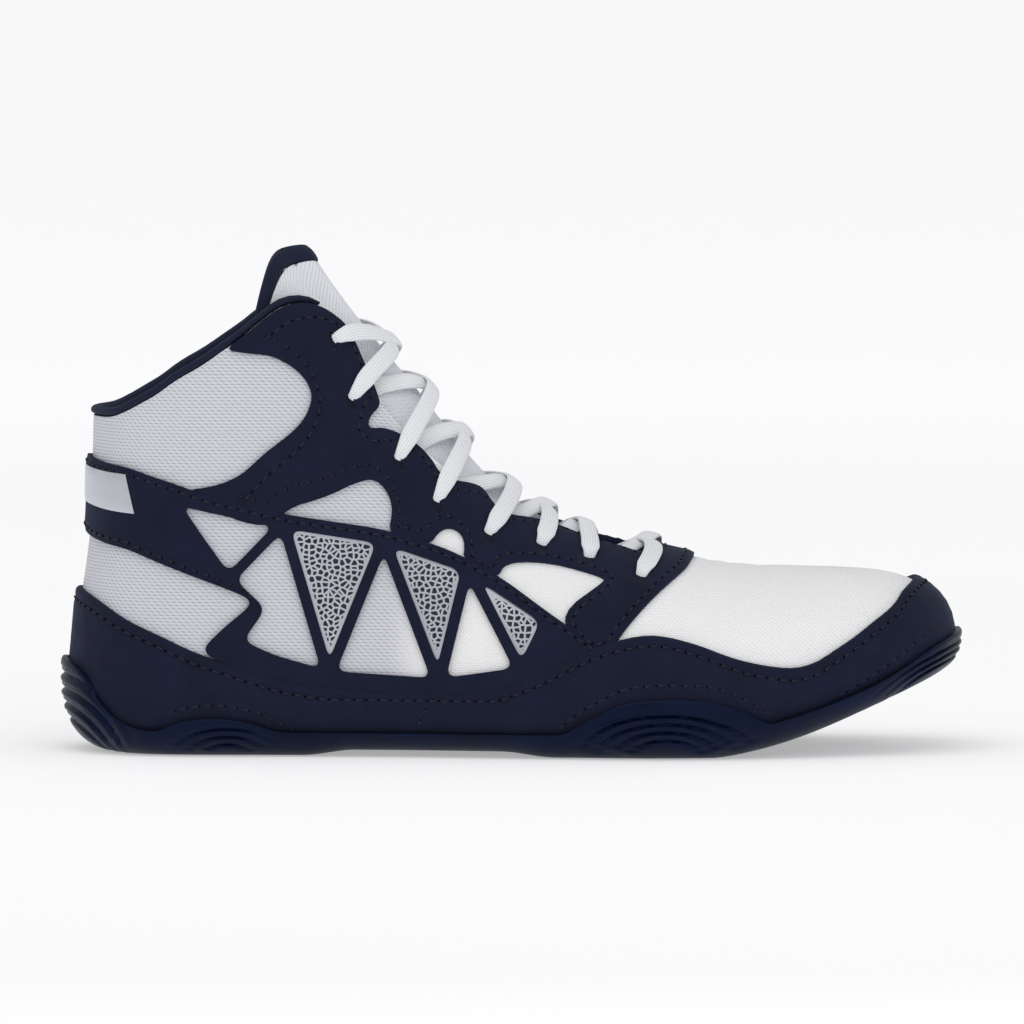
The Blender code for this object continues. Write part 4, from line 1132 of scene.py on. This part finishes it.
# The tongue: mesh over foam, thickest in the middle, and its folded binding. Its sides lie deeper, under the
# facings. The binding's profile has millimetres ahead of the tongue's edge and out.
tonguePad = {"pad": 4.0 * mm, "edge": 1.4 * mm, "face": -1.0 * mm, "columns": 36, "steps": 5, "sweep": 1.6,
             "soft": 0.35, "rim": 0.5 * mm, "rimFrom": 0.93, "under": (0.10, 0.40),
             "binding": ((0.2, 0.6), (1.6, 0.9), (3.0, 0.2), (3.2, -0.6), (1.6, -1.8), (0.2, -1.5))}


def tongueDepth(share, reach):
    low = -along(tongueDepths, share) * mm
    gap = along(throatEdge, share) if share < throatEdge[-1][0] else 0
    start, stop = tonguePad["under"]
    return low + (tonguePad["face"] - low) * smooth((gap - reach - start) / (stop - start))


def tongueTable(column):
    return [tongueRows[0][column]] + [row[column] for row in tongueRows] + [tongueRows[-1][column]]


def tongueRow(place):
    share, half, sweep = (catmull(tongueTable(column), place) for column in range(3))
    spots = []
    for column in range(tonguePad["columns"] + 1):
        across = 2 * column / tonguePad["columns"] - 1
        back = share - sweep * abs(across) ** tonguePad["sweep"]
        spots.append((medial if across > 0 else lateral, back, half * abs(across), abs(across)))
    return spots


def tongueThickness(across):
    edge, pad = tonguePad["edge"], tonguePad["pad"]
    return edge + (pad - edge) * smooth((1 - across) / tonguePad["soft"])


def tongue():
    loops = []
    for step in range((len(tongueRows) - 1) * tonguePad["steps"] + 1):
        top, bottom = [], []
        for side, share, reach, across in tongueRow(step / tonguePad["steps"]):
            station = stationAt(share)
            turn = turnAtGap(station, reach)
            depth = tongueDepth(share, reach)
            rim = tonguePad["rim"] * smooth((across - tonguePad["rimFrom"]) / (1 - tonguePad["rimFrom"]))
            top.append(skin(side, station, turn, depth - rim))
            bottom.append(skin(side, station, turn, depth - tongueThickness(across) + rim * 0.5))
        loops.append(top + list(reversed(bottom)))
    piece = loft("tonguePad", [tongueCloth], loops, ring=False, centre=tonguePad["columns"] // 2)
    dress(piece, "tongue_mesh", "tongue")
    return piece


# The binding wraps the edge: it stands on the face, and under the back it goes by the tongue's thickness
def tongueBinding():
    profile = roundProfile(tonguePad["binding"])
    loops = []
    for side, back, reach, across in tongueRow(0):
        depth, thick = tongueDepth(back, reach), tongueThickness(across)
        loop = []
        for ahead, out in profile:
            station = stationAt(back - ahead * mm / length)
            if out > 0:
                lift = out * mm
            elif out < -1:
                lift = (out + 1) * mm - thick
            else:
                lift = out * thick
            loop.append(skin(side, station, turnAtGap(station, reach), depth + lift))
        loops.append(loop)
    return dress(loft("tongueBinding", [knitTape], loops, ring=False), "knit", "tongue_binding")


tongue()
tongueBinding()
print("tongue padded")

# The laces: each flat lace comes out of an eyelet, lies on its facing, crosses over the tongue and dives
# under the opposite facing, one eyelet higher. The heights, in millimetres from the last, go with the way.
lace = {"width": 6.0, "thick": 1.2, "steps": 48, "corners": 16,
        "heights": ((0.0, -0.6), (0.015, 0.9), (0.035, 2.1), (0.07, 2.8), (0.30, 2.9), (0.50, 2.9),
                    (0.70, 1.6), (0.86, -1.2), (1.0, -2.9)),
        "topHeights": ((0.0, -0.6), (0.015, 0.9), (0.035, 2.1), (0.07, 2.8), (0.50, 2.9), (0.93, 2.8),
                       (0.965, 2.1), (0.985, 0.9), (1.0, -0.6)),
        "over": 1.3, "under": 0.13, "crossing": 0.13, "endWidth": 0.6, "endRun": 0.10, "pressed": 0.45,
        "pressedFrom": 0.8, "dive": 0.02, "bulge": 0.3, "square": (0.6, 0.75)}


# Where a taut lace lies at y: it leaves start, meets the ridge at crest and comes down to stop
def bow(start, crest, stop, y):
    near = y * (y - stop.y) / (start.y * (start.y - stop.y))
    far = y * (y - start.y) / (stop.y * (stop.y - start.y))
    return Vector((start.x * near + crest * (1 - near - far) + stop.x * far, y))


# A number raised to a power with its sign kept, which squares off a circle
def squared(value, power):
    return math.copysign(abs(value) ** power, value)


def laceRun(number, side, word):
    (share, reach), (lowShare, lowReach) = eyelets[number], eyelets[number + 1]
    crestShare, diveShare = crossings[number]
    top, steps, flat = number == 0, lace["steps"], lace["square"]
    if not top:
        share, reach = diveShare, curved(throatEdge, diveShare) + lace["dive"]
    start, stop = ridgeChart(lowShare, side * lowReach), ridgeChart(share, -side * reach)
    lift = lace["over"] if side == (lateral if number % 2 else medial) else -lace["under"]
    centres, normals = [], []
    parts = [0.5 - 0.5 * math.cos(math.pi * step / steps) for step in range(steps + 1)]
    for part in parts:
        place = overRidge(bow(start, along(ridge, crestShare), stop, start.y + (stop.y - start.y) * part))
        height = curved(lace["topHeights"] if top else lace["heights"], part)
        height += lift * math.exp(-((part - 0.5) / lace["crossing"]) ** 2)
        centres.append(skin(*place, height * mm))
        normals.append((skin(*place, (height + 1) * mm) - centres[-1]).normalized())
    loops = []
    for step, (part, centre, normal) in enumerate(zip(parts, centres, normals)):
        ahead = centres[min(step + 1, steps)] - centres[max(step - 1, 0)]
        across = ahead.cross(normal).normalized()
        normal = across.cross(ahead).normalized()
        full = smooth(part / lace["endRun"]) * (smooth((1 - part) / lace["endRun"]) if top else 1)
        width = lace["width"] * (lace["endWidth"] + (1 - lace["endWidth"]) * full)
        under = smooth((part - lace["pressedFrom"]) / (1 - lace["pressedFrom"]))
        pressed = 0 if top else lace["pressed"] * under
        loop = []
        for corner in range(lace["corners"]):
            angle = 2 * math.pi * corner / lace["corners"]
            sideways, up = squared(math.cos(angle), flat[0]), squared(math.sin(angle), flat[1])
            rise = up * lace["thick"] * (1 - pressed) / 2 - lace["bulge"] * sideways ** 2
            loop.append(centre + (across * sideways * width / 2 + normal * rise) * mm)
        loops.append(loop)
    return loft(f"lace_{number + 1}_{word}", [laceCloth], loops, ring=False)


def laces():
    for number in range(len(crossings)):
        for side, word in bothSides:
            dress(laceRun(number, side, word), "lace", f"lace_crossing_{number + 1}")


laces()
print("laces threaded")

# The rubber sole: a cup with round humps, ribbed in arcs, and grooves round the humps underneath
sole = {"cup": 2.0 * mm, "podHeight": 19 * mm, "arch": 1.8 * mm, "groundTuck": 8 * mm, "bulge": 2.2,
        "steps": 12, "levels": 56, "levelCurve": 1.05, "bottomSteps": 22, "innerRows": 8,
        "strip": 1.2 * mm, "blend": 1.5 * mm, "lip": 0.5 * mm, "lipRun": 0.06,
        "rib": 1.4 * mm, "ribWidth": 0.17, "ribSlope": 0.35, "ribFade": 8 * mm,
        "groove": 1.6 * mm, "grooves": 3.0, "grooveFlat": 1.4, "rim": 0.97,
        "waist": (0.27, 0.55), "waistEase": 0.06}
# Ribs on a hump are parts of ellipses round its foot: share of length at the middle, half its length as a
# share, its height in millimetres, how many ribs, and between which shares of the way out they lie
humps = (
    (0.000, 0.100, 30.0, 4, 0.30, 0.90), (0.187, 0.086, 12.5, 3, 0.22, 0.82),
    (0.670, 0.127, 19.5, 4, 0.26, 0.80), (0.965, 0.140, 17.0, 3, 0.22, 0.62),
)


def waist(share):
    start, stop = sole["waist"]
    return smooth((share - start) / sole["waistEase"]) * smooth((stop - share) / sole["waistEase"])


def underside(share):
    return ground(share) + sole["arch"] * waist(share)


def spinePoint(station, above=0.0):
    share = catmull(curves["spine"], station)
    return Vector((acrossLength(share), catmull(curves["mid"], station) * ballWidth, ground(share) + above))


# A place on the sole's side at a height, moved out by a ledge: it follows the upper, then rounds under
def soleSide(side, station, height, ledge):
    share = catmull(curves["x"], station)
    lowZ, wideZ = underside(share), heights(station)[1]
    reach = clear + sole["cup"]
    spot = skin(side, station, turnAtHeight(station, height) if height >= wideZ else 0, reach)
    outward = spot - spinePoint(station)
    outward.z = 0
    outward.normalize()
    if height < wideZ:
        fall = (wideZ - height) / (wideZ - lowZ)
        tucked = sole["groundTuck"] * along(tuckedIn, share) + reach
        spot = spot - outward * tucked * (1 - max(1 - fall ** sole["bulge"], 0) ** (1 / sole["bulge"]))
        spot.z = height
    return spot + outward * ledge


# A rib is sharp below and slopes away above
def ribDepth(share, height):
    depth = 0.0
    for middle, half, tall, ribs, start, stop in humps:
        away = math.hypot((share - middle) / half, height / (tall * mm))
        if start < away < stop:
            way = ribs * (away - start) / (stop - start) % 1 - 0.5
            slope = sole["ribSlope"] * smooth(way / 0.5) if way > 0 else 0
            depth = max(depth, math.exp(-(way / sole["ribWidth"]) ** 2) + slope)
    return depth


def humpDepth(share, out):
    spread = 0.0
    for middle, half, *_ in humps:
        away = math.hypot((share - middle) / half, (1 - out) * sole["grooveFlat"])
        wave = 0.5 - 0.5 * math.cos(2 * math.pi * away * sole["grooves"])
        spread = max(spread, wave * smooth((1 - away) / 0.2))
    return spread


# The inside of the cup, from its bottom edge up to the lip
def cupTurns(topTurn):
    if topTurn < 0:
        return [-1 + (topTurn + 1) * row / sole["innerRows"] for row in range(sole["innerRows"] + 1)]
    return [-1, -0.8, -0.6, -0.4, -0.2, 0] + [topTurn * row / 3 for row in (1, 2, 3)]


def outsole():
    loops = []
    for side, station in roundTheShoe(stationsOf(sole["steps"])):
        share = catmull(curves["x"], station)
        edgeZ, lowZ = heights(station)[0], underside(share)
        podZ, stripZ = ground(share) + sole["podHeight"] * curved(rubberTop, share), edgeZ + sole["strip"]
        topZ = (podZ + stripZ + math.hypot(podZ - stripZ, sole["blend"])) / 2
        loop = [spinePoint(station, plate - clear)]
        loop += [skin(side, station, turn, clear) for turn in cupTurns(turnAtHeight(station, topZ))]
        tall = smooth((topZ - edgeZ) / sole["ribFade"])
        for level in range(sole["levels"]):
            down = (level / sole["levels"]) ** sole["levelCurve"]
            height = topZ - (topZ - lowZ) * down
            lip = sole["lip"] * (1 - min(down / sole["lipRun"], 1)) ** 2
            rib = sole["rib"] * tall * ribDepth(share, height - lowZ)
            loop.append(soleSide(side, station, height, -rib - lip))
        rim, heart = soleSide(side, station, lowZ, 0), spinePoint(station)
        heart.z = underside(catmull(curves["spine"], station))
        for step in range(sole["bottomSteps"]):
            out = 1 - step / sole["bottomSteps"]
            spot = heart.lerp(rim, out)
            if out < sole["rim"]:
                spot.z += sole["groove"] * humpDepth(share, out) * (1 - waist(share))
            loop.append(spot)
        loops.append(loop + [heart])
    lastSide = len(loops[0]) - 1
    piece = loft("rubberSole", [rubberMould], loops, skip=lambda number, side: side == lastSide, centre=20)
    return dress(piece, "rubber", "outsole")


outsole()
print("sole moulded")

# Stitches: Geometry Nodes lay one short thread after another along each seam, and a painted-shadow bead
# between them.
# A seam's runs keep off the piece's edge, and off the ridge, as a share of the chart's girth.
stitch = {"pitch": 3.9 * mm, "length": 2.8 * mm, "width": 0.75 * mm, "height": 0.5 * mm, "hole": 0.8 * mm,
          "segments": 8, "rings": 5, "sunk": 0.15 * mm, "facingIn": 2.2 * mm, "facingMargin": 1.9 * mm,
          "offRidge": 0.97, "shortest": 5}


def threadTree():
    tree = bpy.data.node_groups.new("threadAlongSeams", "GeometryNodeTree")
    sockets = {"Seams": "NodeSocketGeometry", "Pitch": "NodeSocketFloat", "Length": "NodeSocketFloat",
               "Width": "NodeSocketFloat", "Height": "NodeSocketFloat", "Hole": "NodeSocketFloat",
               "Thread": "NodeSocketMaterial", "Shadow": "NodeSocketMaterial"}
    for name, kind in sockets.items():
        tree.interface.new_socket(name, in_out="INPUT", socket_type=kind)
    tree.interface.new_socket("Stitches", in_out="OUTPUT", socket_type="NodeSocketGeometry")
    given = addNode(tree, "NodeGroupInput").outputs
    seams = addNode(tree, "GeometryNodeMeshToCurve", {"Mesh": given["Seams"]}).outputs["Curve"]
    evened = addNode(tree, "GeometryNodeResampleCurve", {"Curve": seams, "Length": given["Pitch"]},
                     mode="LENGTH")
    upright = addNode(tree, "GeometryNodeInputNamedAttribute", {"Name": "up"}, data_type="FLOAT_VECTOR")
    tangent = addNode(tree, "GeometryNodeInputTangent").outputs["Tangent"]
    standing = addNode(tree, "FunctionNodeAlignRotationToVector", {"Vector": upright.outputs["Attribute"]},
                       axis="Z")
    turned = addNode(tree, "FunctionNodeAlignRotationToVector",
                     {"Rotation": standing.outputs["Rotation"], "Vector": tangent}, axis="X", pivot_axis="Z")
    size = addNode(tree, "ShaderNodeCombineXYZ", (given["Length"], given["Width"], given["Height"]))
    bead = addNode(tree, "GeometryNodeMeshUVSphere",
                   {"Segments": stitch["segments"], "Rings": stitch["rings"], "Radius": 0.5}).outputs["Mesh"]
    laid = addNode(tree, "GeometryNodeInstanceOnPoints",
                   {"Points": evened.outputs["Curve"], "Instance": bead,
                    "Rotation": turned.outputs["Rotation"], "Scale": size.outputs["Vector"]})
    threads = addNode(tree, "GeometryNodeSetMaterial", {"Geometry": laid.outputs["Instances"],
                                                        "Material": given["Thread"]})
    # The needle holes: flat beads in the Shadow material, a dark bead of painted shadow at each hole
    half = addNode(tree, "ShaderNodeMath", (given["Pitch"], 0.5), operation="MULTIPLY").outputs[0]
    later = addNode(tree, "GeometryNodeTrimCurve", {"Curve": seams, "Start": half}, mode="LENGTH")
    between = addNode(tree, "GeometryNodeResampleCurve",
                      {"Curve": later.outputs["Curve"], "Length": given["Pitch"]}, mode="LENGTH")
    flat = addNode(tree, "ShaderNodeCombineXYZ", (given["Hole"], given["Hole"], given["Width"]))
    pricked = addNode(tree, "GeometryNodeInstanceOnPoints",
                      {"Points": between.outputs["Curve"], "Instance": bead,
                       "Rotation": turned.outputs["Rotation"], "Scale": flat.outputs["Vector"]})
    holes = addNode(tree, "GeometryNodeSetMaterial", {"Geometry": pricked.outputs["Instances"],
                                                      "Material": given["Shadow"]})
    both = addNode(tree, "GeometryNodeJoinGeometry", {"Geometry": threads.outputs["Geometry"]})
    tree.links.new(holes.outputs["Geometry"], both.inputs["Geometry"])
    real = addNode(tree, "GeometryNodeRealizeInstances", {"Geometry": both.outputs["Geometry"]})
    addNode(tree, "NodeGroupOutput", {"Stitches": real.outputs["Geometry"]})
    return tree


stitching = threadTree()


# Sews seams, each a list of (side, station, turn, out), and returns one mesh piece
def sew(name, seams, slotName, closed=False):
    verts, edges, ups = [], [], []
    for seam in seams:
        start = len(verts)
        for side, station, turn, out in seam:
            spot = skin(side, station, turn, out)
            verts.append(spot)
            ups.append((skin(side, station, turn, out + mm) - spot).normalized())
        edges += [(start + number, start + number + 1) for number in range(len(seam) - 1)]
        if closed:
            edges.append((len(verts) - 1, start))
    data = bpy.data.meshes.new(name)
    data.from_pydata(verts, edges, [])
    upright = data.attributes.new("up", "FLOAT_VECTOR", "POINT")
    upright.data.foreach_set("vector", [value for up in ups for value in up])
    path = bpy.data.objects.new(name + "Path", data)
    bpy.context.scene.collection.objects.link(path)
    modifier = path.modifiers.new("stitching", "NODES")
    modifier.node_group = stitching
    values = {"Pitch": stitch["pitch"], "Length": stitch["length"], "Width": stitch["width"],
              "Height": stitch["height"], "Hole": stitch["hole"], "Thread": thread, "Shadow": paintedHoleShadow}
    for item in stitching.interface.items_tree:
        if item.in_out == "INPUT" and item.name in values:
            modifier[item.identifier] = values[item.name]
    bpy.context.view_layer.update()
    graph = bpy.context.evaluated_depsgraph_get()
    sewn = bpy.data.meshes.new_from_object(path.evaluated_get(graph))
    sewn.name = name
    sewn.shade_smooth()
    bpy.data.objects.remove(path)
    piece = bpy.data.objects.new(name, sewn)
    bpy.context.scene.collection.objects.link(piece)
    return dress(piece, slotName)


# The height of the seam that runs over the sole's humps
def overHump(share):
    return ground(share) + sole["podHeight"] * curved(rubberTop, share) + mudguard["overHump"]


def onMudguard(side, share, z):
    return side, stationAt(share), turnAtHeight(stationAt(share), z), mudguard["out"] - stitch["sunk"]


def mudguardSeams():
    seam = []
    for side, station in roundTheShoe(stationsOf(mudguard["steps"])):
        top = mudguardTurn(station)
        under = mudguard["seamIn"] / turnRate(side, station, top)
        seam.append((side, station, top - under, mudguard["out"] - stitch["sunk"]))
    sew("mudguardSeam", [seam], "suede", True)
    for side, word in bothSides:
        lines = []
        for start, stop in mudguard["humpSeams"]:
            shares = [start + (stop - start) * step / 40 for step in range(41)]
            lines.append([onMudguard(side, share, overHump(share)) for share in shares])
        foot, rise = mudguard["joinFoot"], mudguard["joinRise"] - mudguard["joinFoot"]
        join, lean = mudguard["join"], mudguard["joinLean"]
        parts = [step / 10 for step in range(11)]
        lines.append([onMudguard(side, join + lean * part ** 2, foot + rise * part) for part in parts])
        sew(f"humpSeams_{word}", lines, "suede")


mudguardSeams()


# An open seam through chart points, at a distance out
def chartSeam(points, place, out):
    line = divided(points, 2.5 * mm)
    return [(*place(spot), out) for spot in line[:line.index(points[-1]) + 1]]


# The runs of a seam that lie inside a piece, away from its edge
def seamRuns(points, outline, margin):
    edges, runs = edgesOf([outline]), [[]]
    for spot in divided(points, 2.0 * mm):
        if inside(spot, outline) and fromEdge(spot, edges) > margin and spot.y < stitch["offRidge"] * girth:
            runs[-1].append(spot)
        elif runs[-1]:
            runs.append([])
    return [run for run in runs if len(run) >= stitch["shortest"]]


def facingSeams():
    for side, word in bothSides:
        outline = facingLoop(side, 1)
        seams = [[(*wallPlace(side)(spot), seat + suede) for spot in run]
                 for run in seamRuns(inset(outline, stitch["facingIn"]), outline, stitch["facingMargin"])]
        sew(f"facingSeam_{word}", seams, "suede")


facingSeams()


def saddleSeams():
    away = Vector((0, saddle["seamIn"]))
    top = heelChart(saddleTop, lateral) + heelChart(saddleTop, medial)[-2::-1]
    sew("saddleTopSeam", [chartSeam([spot - away for spot in top], heelPlace, saddle["out"])], "suede")
    for side, word in bothSides:
        foot = [spot + away for spot in heelChart(saddleLow[:saddle["meets"] - 1], side)]
        sew(f"saddleFootSeam_{word}", [chartSeam(foot, heelPlace, saddle["out"])], "suede")


saddleSeams()
print("seams sewn")

# The footbed keeps its solid's shape
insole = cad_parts["insole"]
insole.data.materials.clear()
insole.data.materials.append(footbedCloth)

# Studio: a wide pale floor, a pale sky and two soft lamps. The floor's paper glows a little, and more at the
# back and far off, where the lamps don't reach, so that it is as pale as the sky: from and to in metres, and
# the glow at either end. Near the shoe the paper is slightly darker.
studio = {"floor": "#f7f7f7", "nearFloor": "#e7e7e8", "speck": "#f5f5f7", "grain": 2.5 * mm, "reach": 14.0,
          "fade": (0.72, 1.25), "nearLift": (-0.7, 0.77, 0.335, 0.475), "farLift": (1.25, 1.8, 0.430, 0.485),
          "sky": "#fbfbfd", "skyStrength": 0.55,
          "lamps": {"key": {"place": (-0.2, -0.5, 1.3), "target": (0, 0, 0.05), "size": 1.3, "power": 5.0},
                    "fill": {"place": (0.6, -1.4, 0.5), "target": (0, 0, 0.08), "size": 1.0, "power": 2.5}}}


def paleFloor():
    material, tree, shader = startMaterial("paleFloorPaper", Roughness=0.95, Specular_IOR_Level=0.1)
    shader.inputs["Emission Color"].default_value = hexColour(studio["floor"])
    place = addNode(tree, "ShaderNodeTexCoord").outputs["Object"]
    depth = addNode(tree, "ShaderNodeSeparateXYZ", (place,)).outputs["Y"]
    distance = addNode(tree, "ShaderNodeVectorMath", (place,), operation="LENGTH").outputs["Value"]
    grain = addNode(tree, "ShaderNodeTexNoise", {"Vector": place, "Scale": 1 / studio["grain"],
                                                 "Detail": 2.0}).outputs[0]
    paper = addNode(tree, "ShaderNodeMix", {mixBy: grain, mixLow: hexColour(studio["speck"]),
                                            mixHigh: hexColour(studio["floor"])}, data_type="RGBA")
    fade = addNode(tree, "ShaderNodeMapRange", (distance, *studio["fade"])).outputs[0]
    colour = addNode(tree, "ShaderNodeMix", {mixBy: fade, mixLow: hexColour(studio["nearFloor"]),
                                             mixHigh: paper.outputs[mixOut]}, data_type="RGBA")
    tree.links.new(colour.outputs[mixOut], shader.inputs["Base Color"])
    near = addNode(tree, "ShaderNodeMapRange", (depth, *studio["nearLift"])).outputs[0]
    far = addNode(tree, "ShaderNodeMapRange", (distance, *studio["farLift"])).outputs[0]
    addNode(tree, "ShaderNodeMapRange", (distance, *studio["fade"], near, far),
            shader.inputs["Emission Strength"])
    mesh = bmesh.new()
    bmesh.ops.create_circle(mesh, cap_ends=True, segments=64, radius=studio["reach"])
    data = bpy.data.meshes.new("floor")
    mesh.to_mesh(data)
    mesh.free()
    data.materials.append(material)
    data.shade_smooth()
    floor = bpy.data.objects.new("floor", data)
    bpy.context.scene.collection.objects.link(floor)


paleFloor()


def softLamp(name, place, target, size, power):
    data = bpy.data.lights.new(name, "AREA")
    data.shape, data.size, data.energy = "SQUARE", size, power
    lamp = bpy.data.objects.new(name, data)
    lamp.location = place
    lamp.rotation_euler = (Vector(target) - Vector(place)).to_track_quat("-Z", "Y").to_euler()
    bpy.context.scene.collection.objects.link(lamp)


for name, lamp in studio["lamps"].items():
    softLamp(name, **lamp)
sky = bpy.data.worlds.new("paleSky")
bpy.context.scene.world = sky
sky.use_nodes = True
sky.node_tree.nodes["Background"].inputs["Color"].default_value = hexColour(studio["sky"])
sky.node_tree.nodes["Background"].inputs["Strength"].default_value = studio["skyStrength"]

# The camera looks at the shoe's lateral side and a little down, through a long lens
camera = {"lens": 500, "sensor": 36, "perPixel": 0.3190 * mm, "pixels": 1024, "elevation": 4.0,
          "middle": (0.0003, -0.012, 0.0765)}


def addCamera():
    data = bpy.data.cameras.new("camera")
    data.lens, data.sensor_width, data.clip_end = camera["lens"], camera["sensor"], 30
    eye = bpy.data.objects.new("camera", data)
    away = camera["perPixel"] * camera["pixels"] * camera["lens"] / camera["sensor"]
    tilt = math.radians(camera["elevation"])
    back = Vector((0, -math.cos(tilt), math.sin(tilt)))
    eye.location = Vector(camera["middle"]) + back * away
    eye.rotation_euler = (-back).to_track_quat("-Z", "Y").to_euler()
    bpy.context.scene.collection.objects.link(eye)
    bpy.context.scene.camera = eye


addCamera()
bpy.context.scene.view_settings.view_transform = "Standard"
print("studio set")
